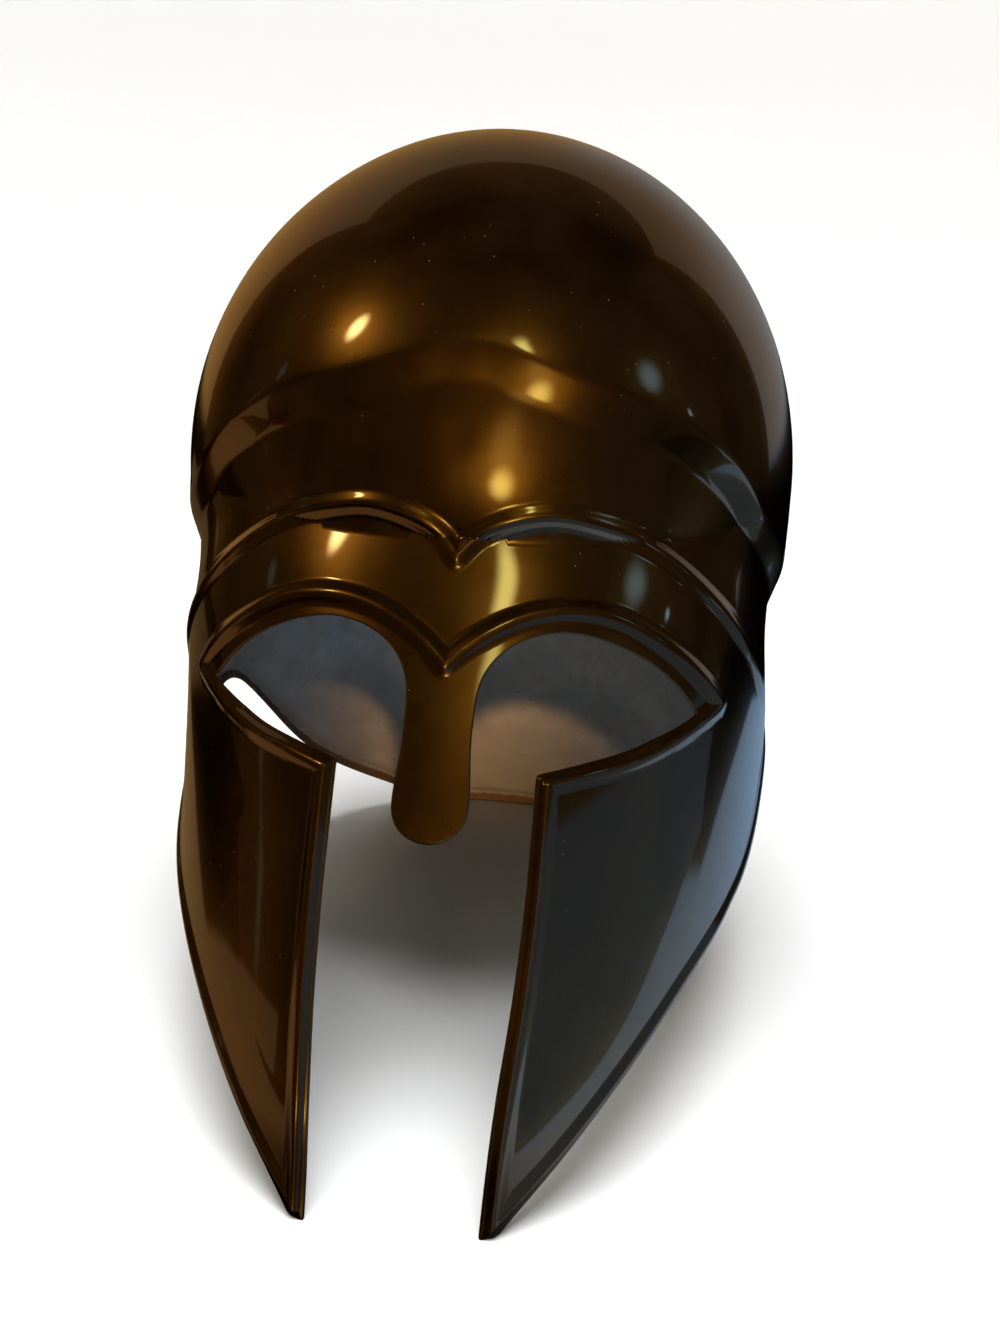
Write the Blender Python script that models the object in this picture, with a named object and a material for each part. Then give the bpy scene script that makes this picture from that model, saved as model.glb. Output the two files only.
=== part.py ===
"""An open-faced Corinthian helmet raised from one steel sheet, standing on its cheek tips and rear rim.

Metres, +Z up, the face looks along -Y and +X is the wearer's left. The origin is at the middle of the
footprint, on the floor. The sheet is worked out on one half, as a skin that is a function of the angle
round the head and the way down from the crown, and is then mirrored.
"""
import bpy
import numpy as np
from mathutils import Vector, kdtree
from mathutils.geometry import delaunay_2d_cdt

for old in list(bpy.data.objects):
    bpy.data.objects.remove(old, do_unlink=True)

# Sizes of the whole helmet, as it stands
WIDTH = 0.226
HEIGHT = 0.3085
DEPTH = 0.312
WALL = 0.0012

# The skull above its widest level is half an ellipsoid
SPRING = 0.186
CROWN_SHIFT = 0.018
FULLNESS = 0.01

# Turned and raised work
STEP_DEPTH = 0.0040
STEP_BAND = 0.0135
STEP_FADE = 0.060
STEP_ROUND = 0.0007
RIDGE_HEIGHT = 0.0015
RIDGE_WIDTH = 0.0098
BORDER_HEIGHT = 0.0012
BORDER_WIDTH = 0.0078
BORDER_TURN = 0.0012
BORDER_TURN_WIDTH = 0.0033
BEAD_START = 0.014
CORNER_ROUND = 0.0013
RIDGE_CORNER = 0.0018

# Level sections of the skin: height / HEIGHT, half width / WIDTH, reach to the front / DEPTH,
# reach to the back / DEPTH, power of the section's curve
SECTIONS = (
    (-0.04, 0.496, 0.686, 0.356, 2.00),
    (0.000, 0.496, 0.664, 0.352, 2.00),
    (0.097, 0.495, 0.628, 0.342, 2.00),
    (0.195, 0.493, 0.570, 0.333, 2.02),
    (0.292, 0.491, 0.506, 0.332, 2.05),
    (0.389, 0.490, 0.449, 0.350, 2.10),
    (0.486, 0.491, 0.388, 0.380, 2.15),
    (0.603, 0.492, 0.311, 0.401, 2.20),
    (0.648, 0.489, 0.282, 0.404, 2.20))

# Lines on the skin: angle from the front in degrees, height / HEIGHT
NOSE_AND_EYE = ((0.0, 0.3345), (1.5, 0.3360), (2.9, 0.3405), (4.1, 0.3490), (4.75, 0.3610), (4.9, 0.3760),
                (4.8, 0.3955), (4.7, 0.4120), (4.7, 0.4310), (4.9, 0.4510), (5.3, 0.4690), (6.3, 0.4850),
                (8.3, 0.5000), (11.5, 0.5125), (15.5, 0.5195), (20.0, 0.5205), (25.0, 0.5125), (30.0, 0.4970),
                (34.5, 0.4750), (38.0, 0.4500), (40.4, 0.4280))
CHEEK_TOP = ((40.4, 0.4280), (37.0, 0.4215), (33.6, 0.4165), (27.0, 0.4085), (21.5, 0.4045), (17.0, 0.4005),
             (13.4, 0.3968))
CHEEK_FRONT = ((13.4, 0.3968), (12.3, 0.3200), (11.7, 0.2790), (11.0, 0.2400), (10.0, 0.1880), (8.9, 0.1300),
               (8.2, 0.0710), (7.65, 0.0000))
CHEEK_TIP = ((7.65, 0.0000), (9.2, 0.0000))
LOWER_EDGE = ((9.2, 0.0000), (10.4, 0.0110), (12.3, 0.0270), (15.2, 0.0500), (20.2, 0.0850), (26.3, 0.1180),
              (33.5, 0.1465), (38.0, 0.1590), (44.0, 0.1715), (50.0, 0.1820), (58.0, 0.1960), (68.0, 0.2160),
              (78.0, 0.2420), (86.0, 0.2650), (92.0, 0.2800), (98.0, 0.2845), (103.7, 0.2730), (108.5, 0.2510),
              (115.0, 0.2110), (125.8, 0.1370), (138.0, 0.0790), (151.0, 0.0360), (161.0, 0.0100), (168.0, 0.0000))
REAR_FOOT = ((168.0, 0.0000), (180.0, 0.0000))
SKULL_CREASE = ((0.0, 0.7600), (4.0, 0.7590), (10.0, 0.7500), (18.0, 0.7350), (25.0, 0.7215), (36.0, 0.7010),
                (43.0, 0.6820), (48.5, 0.6600), (54.7, 0.6290), (61.0, 0.5850), (70.0, 0.5350), (80.0, 0.4900),
                (92.0, 0.4480), (106.0, 0.4110), (122.0, 0.3780), (142.0, 0.3520), (162.0, 0.3380),
                (180.0, 0.3340))
UPPER_RIDGE = ((0.0, 0.5855), (2.3, 0.5990), (4.7, 0.6100), (10.5, 0.6240), (18.0, 0.6300), (25.0, 0.6230),
               (35.7, 0.5990), (43.0, 0.5640), (52.3, 0.5030), (60.0, 0.4460), (67.0, 0.3980), (74.0, 0.3600),
               (82.0, 0.3300))
LOWER_RIDGE = ((0.0, 0.4900), (3.2, 0.5075), (7.0, 0.5220), (12.2, 0.5350), (20.0, 0.5410), (28.0, 0.5310),
               (33.0, 0.5130), (38.5, 0.4850), (43.2, 0.4540), (46.6, 0.4260))
RIDGE_RETURN = ((46.6, 0.4260), (43.5, 0.4210), (40.3, 0.4160), (34.0, 0.4060), (30.0, 0.4010))

# Shares of a ridge's length over which its end dies away
UPPER_FADE = 0.34
LOWER_FADE = 0.10

# The share of the step's depth at the middle of the forehead, and the angle in degrees where it is whole
STEP_FRONT = 0.6
STEP_WHOLE_AT = 65

# Angles between which a section turns from its front reach to its back reach, in degrees
TURN_FROM = 40
TURN_OVER = 100

# How finely the sheet is cut up
FIELD_STEP = 0.0136
LINE_STEP = 0.0085
BORDER_ROWS = (0.0, 0.0012, 0.0024, 0.0039, 0.0055, 0.0078)
PLAIN_ROWS = (0.0, 0.0022)
RIDGE_ROWS = (-0.0050, -0.0031, -0.0012, 0.0012, 0.0031, 0.0050)
STEP_ROWS = (-0.0175, -0.0135, -0.0100, -0.0050, -0.0016, 0.0000, 0.0020, 0.0060)

SPRING_TO_CROWN = HEIGHT - SPRING
CENTRE_Y = 0.120
TRACE_STEP = 0.0008
NOSE_STEP = 0.0055
TIP_STEP = 0.003
CLEAR_SHARE = 0.2
CREASE_STRETCH = 1.15
UPRIGHT_OVER = 0.012
PLANE_RADIUS = 0.112
PLANE_POWER = 1.1
PROBE = 1e-4


def spline(at, xs, ys):
    """A natural cubic curve through a table."""
    xs = np.asarray(xs, float)
    ys = np.asarray(ys, float)
    n = len(xs)
    gap = np.diff(xs)
    rows = np.zeros((n, n))
    rows[0, 0] = 1.0
    rows[-1, -1] = 1.0
    side = np.zeros(n)
    for i in range(1, n - 1):
        rows[i, i - 1] = gap[i - 1]
        rows[i, i] = 2 * (gap[i - 1] + gap[i])
        rows[i, i + 1] = gap[i]
        side[i] = 6 * ((ys[i + 1] - ys[i]) / gap[i] - (ys[i] - ys[i - 1]) / gap[i - 1])
    bend = np.linalg.solve(rows, side)
    at = np.asarray(at, float)
    i = np.clip(np.searchsorted(xs, at) - 1, 0, n - 2)
    t = at - xs[i]
    u = xs[i + 1] - at
    g = gap[i]
    cubic = bend[i] * u**3 / (6 * g) + bend[i + 1] * t**3 / (6 * g)
    return cubic + (ys[i] / g - bend[i] * g / 6) * u + (ys[i + 1] / g - bend[i + 1] * g / 6) * t


def ease(x):
    x = np.clip(x, 0.0, 1.0)
    return x**3 * (x * (6 * x - 15) + 10)


def down_from_height(z):
    """The way down the skin from the springing level, less than nothing on the skull."""
    z = np.asarray(z, float)
    rise = np.clip((z - SPRING) / SPRING_TO_CROWN, 0.0, 1.0)
    return np.where(z > SPRING, -SPRING_TO_CROWN * np.arcsin(rise), SPRING - z)


def plain_skin(angle, down):
    """A point of the skin before its raised work."""
    angle = np.asarray(angle, float)
    down = np.asarray(down, float)
    tilt = np.clip(-down / SPRING_TO_CROWN, 0.0, np.pi / 2)
    table = np.array(SECTIONS)
    z_row = np.where(down > 0, SPRING - down, SPRING) / HEIGHT
    half, front, back, power = (spline(z_row, table[:, 0], table[:, k]) for k in range(1, 5))
    turn = ease((np.abs(angle) - np.radians(TURN_FROM)) / np.radians(TURN_OVER))
    reach = (front + (back - front) * turn) * DEPTH
    shrink = np.cos(tilt) * (1 + FULLNESS * np.sin(2 * tilt)**2)
    z = np.where(down > 0, SPRING - down, SPRING + SPRING_TO_CROWN * np.sin(tilt))
    across = np.abs(np.sin(angle)) / (half * WIDTH)
    along = np.abs(np.cos(angle)) / reach
    r = shrink / (across**power + along**power)**(1 / power)
    centre = CENTRE_Y + CROWN_SHIFT * np.sin(tilt)**2
    return np.stack([r * np.sin(angle), centre - r * np.cos(angle), z], axis=-1)


def slopes(skin, angle, down):
    """The skin's two tangents at each place, by small differences."""
    along = (skin(angle + PROBE, down) - skin(angle - PROBE, down)) / (2 * PROBE)
    fall = (skin(angle, down + PROBE / 2) - skin(angle, down - PROBE / 2)) / PROBE
    return along, fall


def unit(v):
    return v / np.maximum(np.linalg.norm(v, axis=-1, keepdims=True), 1e-12)


def normals(skin, angle, down):
    along, fall = slopes(skin, angle, down)
    return unit(np.cross(fall, along))


def trace(table, step, ends_round=(False, False)):
    """Places along a line of the table, about a step apart, as angle and way down."""
    table = np.array(table)
    flat = np.stack([np.radians(table[:, 0]) * PLANE_RADIUS, down_from_height(table[:, 1] * HEIGHT)], axis=1)
    along = np.r_[0.0, np.cumsum(np.linalg.norm(np.diff(flat, axis=0), axis=1))]
    if ends_round[0]:
        flat = np.r_[flat[:0:-1] * (-1, 1), flat]
        along = np.r_[-along[:0:-1], along]
    if ends_round[1]:
        far = flat[:-1][::-1]
        far = np.stack([2 * np.pi * PLANE_RADIUS - far[:, 0], far[:, 1]], axis=1)
        flat = np.r_[flat, far]
        along = np.r_[along, 2 * along[-1] - along[:-1][::-1]]
    end = np.linalg.norm(np.diff(np.stack([np.radians(table[:, 0]) * PLANE_RADIUS,
                                           down_from_height(table[:, 1] * HEIGHT)], axis=1), axis=0), axis=1).sum()
    fine = np.linspace(0.0, end, 1200)
    level = np.minimum(spline(fine, along, flat[:, 1]), SPRING)
    places = np.stack([spline(fine, along, flat[:, 0]) / PLANE_RADIUS, level], axis=1)
    points = plain_skin(places[:, 0], places[:, 1])
    length = np.r_[0.0, np.cumsum(np.linalg.norm(np.diff(points, axis=0), axis=1))]
    count = max(1, int(round(length[-1] / step)))
    at = np.linspace(0.0, length[-1], count + 1)
    return np.stack([np.interp(at, length, places[:, 0]), np.interp(at, length, places[:, 1])], axis=1)


def joined(lines, corner_round, step):
    """Lines end to end, with the corner between two of them rounded off."""
    out = lines[0]
    for nxt in lines[1:]:
        a = plain_skin(out[:, 0], out[:, 1])
        b = plain_skin(nxt[:, 0], nxt[:, 1])
        corner = b[0]
        keep_a = out[np.linalg.norm(a - corner, axis=1) > corner_round]
        keep_b = nxt[np.linalg.norm(b - corner, axis=1) > corner_round]
        start = cut_at(out, a, corner, corner_round)
        finish = cut_at(nxt[::-1], b[::-1], corner, corner_round)
        pieces = max(2, int(round(1.6 * corner_round / step)))
        t = np.linspace(0.0, 1.0, pieces + 1)[:, None]
        arc = (1 - t)**2 * start + 2 * t * (1 - t) * nxt[0] + t**2 * finish
        if len(keep_a) and np.linalg.norm(plain_skin(*keep_a[-1]) - plain_skin(*start)) < 0.35 * step:
            keep_a = keep_a[:-1]
        if len(keep_b) and np.linalg.norm(plain_skin(*keep_b[0]) - plain_skin(*finish)) < 0.35 * step:
            keep_b = keep_b[1:]
        out = np.r_[keep_a, arc, keep_b]
    return out


def cut_at(line, points, corner, radius):
    """The place on a line where it comes within a radius of its last corner."""
    far = np.linalg.norm(points - corner, axis=1)
    i = int(np.flatnonzero(far > radius)[-1])
    t = (far[i] - radius) / (far[i] - far[i + 1])
    return line[i] + (line[i + 1] - line[i]) * t


def border_line(step):
    nose = trace(NOSE_AND_EYE, min(step, NOSE_STEP), (True, False))
    fine = min(step, TIP_STEP)
    parts = [nose, trace(CHEEK_TOP, step), trace(CHEEK_FRONT, step), trace(CHEEK_TIP, fine),
             trace(LOWER_EDGE, step)]
    line = joined(parts, CORNER_ROUND, step)
    foot = trace(REAR_FOOT, step)
    return np.r_[line, foot[1:]]


class Line:
    """A line on the plain skin and its mirror image, which gives distances to itself."""

    def __init__(self, places, weight=None):
        self.places = places
        points = plain_skin(places[:, 0], places[:, 1])
        weight = np.ones(len(points)) if weight is None else weight
        self.points = np.r_[points, points * (-1, 1, 1)]
        self.weight = np.r_[weight, weight]
        self.half = len(points)
        self.tree = kdtree.KDTree(len(self.points))
        for i, p in enumerate(self.points):
            self.tree.insert(p, i)
        self.tree.balance()

    def reach(self, at):
        """Distance to the line and the line's weight there."""
        near = np.array([self.tree.find(p)[1] for p in at])
        best = np.linalg.norm(at - self.points[near], axis=1)
        weight = self.weight[near].copy()
        for turn in (-1, 1):
            other = near + turn
            same = (other >= 0) & (other < 2 * self.half) & (other // self.half == near // self.half)
            other = np.where(same, other, near)
            a = self.points[near]
            ab = self.points[other] - a
            t = np.clip(np.einsum("ij,ij->i", at - a, ab) / np.maximum((ab**2).sum(1), 1e-18), 0, 1)
            far = np.linalg.norm(at - a - ab * t[:, None], axis=1)
            closer = far < best
            best = np.where(closer, far, best)
            mixed = self.weight[near] * (1 - t) + self.weight[other] * t
            weight = np.where(closer, mixed, weight)
        return best, weight


def softer(a, b, k):
    """The larger of two, with a rounded change-over."""
    h = np.clip(0.5 + 0.5 * (a - b) / k, 0.0, 1.0)
    return b + (a - b) * h + k * h * (1 - h)


def lay_out_lines():
    """Fine copies of the border and both ridges, for measuring to."""
    fine = TRACE_STEP
    border = border_line(fine)
    eye_corner = plain_skin(np.radians(CHEEK_TOP[0][0]), down_from_height(CHEEK_TOP[0][1] * HEIGHT))
    cheek_corner = plain_skin(np.radians(CHEEK_FRONT[0][0]), down_from_height(CHEEK_FRONT[0][1] * HEIGHT))
    points = plain_skin(border[:, 0], border[:, 1])
    order = np.arange(len(points))
    first = int(np.argmin(np.linalg.norm(points - eye_corner, axis=1)))
    second = int(np.argmin(np.linalg.norm(points - cheek_corner, axis=1)))
    run = np.r_[0.0, np.cumsum(np.linalg.norm(np.diff(points, axis=0), axis=1))]
    weight = np.where(order < first, 0.0, ease((run - run[first]) / BEAD_START))
    weight = np.where(order > second, 1.0, weight)
    upper = trace(UPPER_RIDGE, fine, (False, False))
    along = np.linspace(0.0, 1.0, len(upper))
    upper_weight = 1 - ease((along - 1 + UPPER_FADE) / UPPER_FADE)
    lower = joined([trace(LOWER_RIDGE, fine), trace(RIDGE_RETURN, fine)], RIDGE_CORNER, fine)
    along = np.linspace(0.0, 1.0, len(lower))
    lower_weight = 1 - ease((along - 1 + LOWER_FADE) / LOWER_FADE)
    return Line(border, weight), Line(upper, upper_weight), Line(lower, lower_weight)


BORDER, UPPER, LOWER = lay_out_lines()
CREASE = trace(SKULL_CREASE, 0.002, (True, True))


def bead_shape(d):
    """Height of the border's bead at a distance in from the edge."""
    return BORDER_HEIGHT * np.sin(np.pi * np.clip(d / BORDER_WIDTH, 0, 1))**2


def turn_shape(d):
    """How far the edge outside the bead is turned in."""
    return BORDER_TURN * (1 - ease(d / BORDER_TURN_WIDTH))


def ridge_shape(d):
    return RIDGE_HEIGHT * np.cos(np.pi * np.clip(d / RIDGE_WIDTH, 0, 0.5))**2


def step_shape(below):
    """The skull's overhang, by the distance below its crease."""
    top = -STEP_DEPTH * (below + STEP_BAND) / STEP_BAND
    upper = -softer(-top, np.zeros_like(top), STEP_ROUND)
    fade = np.clip(below / STEP_FADE, 0, 1)
    lower = -STEP_DEPTH * (1 - ease(fade))
    return softer(upper, lower, STEP_ROUND)


def relief(angle, down, plain):
    flat = plain.reshape(-1, 3)
    folded = np.abs(angle).ravel()
    folded = np.where(folded > np.pi, 2 * np.pi - folded, folded)
    below = down.ravel() - np.interp(folded, CREASE[:, 0], CREASE[:, 1])
    share = STEP_FRONT + (1 - STEP_FRONT) * ease(folded / np.radians(STEP_WHOLE_AT))
    height = step_shape(below) * share
    far, weight = UPPER.reach(flat)
    upper = ridge_shape(far) * weight
    far, weight = LOWER.reach(flat)
    lower = ridge_shape(far) * weight
    far, weight = BORDER.reach(flat)
    bead = bead_shape(far) * weight
    raised = np.maximum(np.maximum(upper, lower), bead) - turn_shape(far) * weight
    return (height + raised).reshape(np.shape(down))


def skin(angle, down):
    """A point of the finished outer face."""
    angle, down = np.broadcast_arrays(np.asarray(angle, float), np.asarray(down, float))
    plain = plain_skin(angle, down)
    return plain + normals(plain_skin, angle, down) * relief(angle, down, plain)[..., None]


def to_plane(angle, down):
    """The half skin spread flat with its angles kept, which suits the triangles."""
    tilt = np.clip(-down / SPRING_TO_CROWN, 0.0, np.pi / 2)
    q = np.where(down < 0, np.tan(np.pi / 4 - tilt / 2)**PLANE_POWER, np.exp(down / PLANE_RADIUS))
    return np.stack([q * np.sin(angle), -q * np.cos(angle)], axis=-1)


def from_plane(p):
    q = np.linalg.norm(p, axis=-1)
    angle = np.arctan2(np.abs(p[:, 0]), -p[:, 1])
    tilt = np.pi / 2 - 2 * np.arctan(np.minimum(q, 1.0)**(1 / PLANE_POWER))
    down = np.where(q < 1.0, -SPRING_TO_CROWN * tilt, PLANE_RADIUS * np.log(np.maximum(q, 1.0)))
    return angle, down


def shifted(places, way, distance):
    """Places moved over the skin by a distance along directions in space."""
    angle = places[:, 0].copy()
    down = places[:, 1].copy()
    for _ in range(2):
        along, fall = slopes(plain_skin, angle, down)
        aa = (along**2).sum(1)
        af = (along * fall).sum(1)
        ff = (fall**2).sum(1)
        ra = (along * way).sum(1) * distance / 2
        rf = (fall * way).sum(1) * distance / 2
        det = aa * ff - af**2
        angle = angle + (ra * ff - rf * af) / det
        down = down + (rf * aa - ra * af) / det
    return np.stack([angle, down], axis=1)


def rows_beside(places, offsets, upright_at=()):
    """Rows of places at distances to the left of a line, upright at the given ends."""
    points = plain_skin(places[:, 0], places[:, 1])
    tangent = unit(np.gradient(points, axis=0))
    up = normals(plain_skin, places[:, 0], places[:, 1])
    way = unit(np.cross(up, tangent))
    _, fall = slopes(plain_skin, places[:, 0], places[:, 1])
    fall = unit(fall)
    sign = np.sign((way * fall).sum(1))[:, None]
    for end in upright_at:
        far = np.linalg.norm(points - points[end], axis=1)[:, None]
        mix = ease(far / UPRIGHT_OVER)
        way = unit(way * mix + fall * sign * (1 - mix))
    square = unit(np.cross(up, tangent))
    stretch = 1 / np.maximum((way * square).sum(1), 0.35)
    return [shifted(places, way, d * stretch) for d in offsets]


class Cut:
    """Gathers the places and the lines that the triangles must follow."""

    def __init__(self):
        self.places = []
        self.edges = []
        self.count = 0
        self.points = np.zeros((0, 3))

    def add_row(self, places, keep, closed_up=True):
        kept = np.flatnonzero(keep)
        number = {int(k): self.count + j for j, k in enumerate(kept)}
        if closed_up:
            for k in kept[:-1]:
                if int(k) + 1 in number:
                    self.edges.append((number[int(k)], number[int(k) + 1]))
        self.places.append(places[kept])
        self.points = np.r_[self.points, plain_skin(places[kept, 0], places[kept, 1])]
        self.count += len(kept)
        return number


def near_any(points, others, limit):
    if not len(others):
        return np.zeros(len(points), bool)
    tree = kdtree.KDTree(len(others))
    for i, p in enumerate(others):
        tree.insert(p, i)
    tree.balance()
    return np.array([tree.find(p)[2] < limit for p in points])


def cut_sheet(field_step, line_step, border_rows, plain_rows, ridge_rows, step_rows):
    """The half skin's places and triangles, with rows that follow the border, ridges and crease."""
    cut = Cut()
    border = border_line(line_step)
    points = plain_skin(border[:, 0], border[:, 1])
    _, weight = BORDER.reach(points)
    for i, d in enumerate(border_rows):
        row = border if d == 0 else rows_beside(border, (d,), (0, -1))[0]
        row[0, 0] = 0.0
        row[-1, 0] = np.pi
        at = plain_skin(row[:, 0], row[:, 1])
        far, _ = BORDER.reach(at)
        wanted = (weight > 0.5) | (i < len(plain_rows))
        keep = wanted & (far > 0.9 * d - 1e-9) & (row[:, 0] > -1e-9) & (row[:, 0] < np.pi + 1e-9)
        if d == 0:
            keep[:] = True
        cut.add_row(row, keep)
    border_count = len(border)
    clear = CLEAR_SHARE * line_step

    def lay(rows, offsets, own):
        before = cut.points.copy()
        for d, row in zip(offsets, rows):
            at = plain_skin(row[:, 0], row[:, 1])
            far, bead = BORDER.reach(at)
            room = np.where(bead > 0.5, border_rows[-1], plain_rows[-1]) + clear
            keep = (far > room) & ~near_any(at, before, clear)
            keep &= (row[:, 0] > -1e-9) & (row[:, 0] < np.pi + 1e-9)
            if own is not None:
                away, _ = own.reach(at)
                keep &= away > 0.85 * abs(d)
            keep &= inside_sheet(row, border)
            cut.add_row(row, keep)

    for table, own in ((LOWER_RIDGE, LOWER), (UPPER_RIDGE, UPPER)):
        rows = rows_beside(trace(table, line_step), ridge_rows, (0,))
        for row in rows:
            row[0, 0] = 0.0
        lay(rows, ridge_rows, own)
    crease = trace(SKULL_CREASE, line_step * CREASE_STRETCH, (True, True))
    lay([crease + (0.0, d) for d in step_rows], step_rows, None)

    before = cut.points.copy()
    levels = np.arange(-SPRING_TO_CROWN * np.pi / 2 + field_step, SPRING, field_step * 0.87)
    for i, level in enumerate(levels):
        fine = np.linspace(0.0, np.pi, 400)
        ring = plain_skin(fine, np.full(400, level))
        run = np.r_[0.0, np.cumsum(np.linalg.norm(np.diff(ring, axis=0), axis=1))]
        count = max(3, int(round(run[-1] / field_step)))
        at = np.arange(count + 1.0)
        if i % 2:
            at = np.r_[0.0, np.arange(count) + 0.5, count]
        angle = np.interp(at * run[-1] / count, run, fine)
        row = np.stack([angle, np.full(len(angle), level)], axis=1)
        spots = plain_skin(row[:, 0], row[:, 1])
        keep = ~near_any(spots, before, 0.5 * field_step)
        keep &= inside_sheet(row, border)
        cut.add_row(row, keep, closed_up=False)
    cut.add_row(np.array([[0.0, -SPRING_TO_CROWN * np.pi / 2]]), np.array([True]))

    places = np.concatenate(cut.places)
    flat = to_plane(places[:, 0], places[:, 1])
    flat[np.abs(flat[:, 0]) < 1e-7, 0] = 0.0
    seam = np.flatnonzero(flat[:, 0] == 0.0)
    seam = seam[np.argsort(flat[seam, 1])]
    seam_edges = list(zip(seam[:-1].tolist(), seam[1:].tolist()))
    rim_edges = [(i, i + 1) for i in range(border_count - 1)]
    edges = cut.edges + seam_edges + rim_edges
    out = delaunay_2d_cdt([Vector(p) for p in flat], edges, [], 1, 1e-9)
    flat = np.array([v[:] for v in out[0]])
    tris = np.array(out[2])
    angle, down = from_plane(flat)
    return angle, down, flat, tris, border


def inside_sheet(places, border):
    """Whether places lie on the sheet, by counting crossings of its outline in the plane."""
    p = to_plane(places[:, 0], places[:, 1]) + (1e-7, 0.0)
    line = to_plane(border[:, 0], border[:, 1])
    a = line[:-1]
    b = line[1:]
    inside = np.zeros(len(p), bool)
    for (x0, y0), (x1, y1) in zip(a, b):
        if y0 == y1:
            continue
        cross = (y0 > p[:, 1]) != (y1 > p[:, 1])
        reach = x0 + (p[:, 1] - y0) * (x1 - x0) / (y1 - y0)
        inside ^= cross & (p[:, 0] < reach)
    return inside


def whole_sheet(angle, down, flat, tris):
    """Both halves as one mesh: outer points, normals, triangles, and which points stand on the floor."""
    outer = skin(angle, down)
    normal = normals(skin, angle, down)
    seam = flat[:, 0] < 1e-7
    outer[seam, 0] = 0.0
    normal[seam, 0] = 0.0
    normal = unit(normal)
    crown = np.hypot(flat[:, 0], flat[:, 1]) < 1e-6
    normal[crown] = (0.0, 0.0, 1.0)
    outer[crown] = (0.0, CENTRE_Y + CROWN_SHIFT, HEIGHT)
    other = np.arange(len(outer))
    extra = np.flatnonzero(~seam)
    other[extra] = len(outer) + np.arange(len(extra))
    points = np.r_[outer, outer[extra] * (-1, 1, 1)]
    normal = np.r_[normal, normal[extra] * (-1, 1, 1)]
    feet = down > SPRING - 2e-5
    feet = np.r_[feet, feet[extra]]
    return points, normal, np.r_[tris, other[tris][:, ::-1]], feet


def boundary(tris):
    """Directed edges that belong to one triangle only."""
    pairs = np.r_[tris[:, (0, 1)], tris[:, (1, 2)], tris[:, (2, 0)]]
    seen = set(map(tuple, pairs.tolist()))
    return [p for p in seen if (p[1], p[0]) not in seen]


def closed_sheet(points, normal, tris, feet, wall):
    """The sheet given its wall, closed round its border and cut level where it stands."""
    inner = points - normal * wall
    points = points.copy()
    for face in (points, inner):
        face[feet, 2] = 0.0
        face[:, 2] = np.maximum(face[:, 2], 0.0)
    n = len(points)
    faces = tris.tolist() + (tris[:, ::-1] + n).tolist()
    for a, b in sorted(boundary(tris)):
        faces.append([b, a, a + n])
        faces.append([b, a + n, b + n])
    return np.r_[points, inner], faces


def outward(points, tris):
    a, b, c = (points[tris[:, k]] for k in range(3))
    middle = np.array([0.0, CENTRE_Y, SPRING * 0.8])
    facing = np.einsum("ij,ij->i", np.cross(b - a, c - a), (a + b + c) / 3 - middle)
    return tris if np.median(facing) > 0 else tris[:, ::-1]


angle, down, flat, tris, _ = cut_sheet(FIELD_STEP, LINE_STEP, BORDER_ROWS, PLAIN_ROWS, RIDGE_ROWS, STEP_ROWS)
points, normal, tris, feet = whole_sheet(angle, down, flat, tris)
tris = outward(points, tris)
shell, faces = closed_sheet(points, normal, tris, feet, WALL)
middle_y = (shell[:, 1].min() + shell[:, 1].max()) / 2
shell[:, 1] -= middle_y
mesh = bpy.data.meshes.new("helmet_shell")
mesh.from_pydata(shell.tolist(), [], faces)
mesh.validate()
mesh.shade_smooth()
mesh.update()
corner = shell[np.array(faces)]
swept = np.einsum("ij,ij->i", corner[:, 0], np.cross(corner[:, 1], corner[:, 2])).sum() / 6
print("helmet_shell", len(shell), "points", len(faces), "triangles,", round(swept * 1e6, 1), "cm3")
rear_foot = points[feet & (points[:, 1] > CENTRE_Y)]
print("rear foot mm", np.round(rear_foot.min(0) * 1000, 2), np.round(rear_foot.max(0) * 1000, 2))
print("size mm", np.round((shell.max(0) - shell.min(0)) * 1000, 1), "from", np.round(shell.min(0) * 1000, 1),
      "shift", round(middle_y * 1000, 2))
steel = bpy.data.materials.new("browned_steel")
steel.use_nodes = True
face = steel.node_tree.nodes["Principled BSDF"]
face.inputs["Base Color"].default_value = (0.045, 0.028, 0.016, 1.0)
face.inputs["Metallic"].default_value = 0.9
face.inputs["Roughness"].default_value = 0.16
mesh.materials.append(steel)
helmet = bpy.data.objects.new("helmet_shell", mesh)
bpy.context.scene.collection.objects.link(helmet)
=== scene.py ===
# %% [markdown]
# # An open-faced helmet, raised from one sheet of steel
# The helmet is of the Italo-Corinthian kind: a deep skull, a narrow nasal, two large eye openings and long
# cheek pieces that end in points, with the mouth left open. The real one is beaten out of one sheet of mild
# steel, about 1.2 mm thick. Its brow ridges are pushed up from behind, its edge is worked into a round bead,
# and its outside is browned and lacquered until it shines. The inside is left as bare grey steel.
#
# Everything below is worked out from a few tables of sizes. The sheet is treated as a smooth skin, and each
# place on it has an angle round the head, from the face, and a way down from the skull's widest level.

# %% Load the part that was made for collision, and keep its bounds
import math

import bpy
import numpy as np
from mathutils import Matrix, Vector, kdtree
from mathutils.geometry import delaunay_2d_cdt


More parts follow.
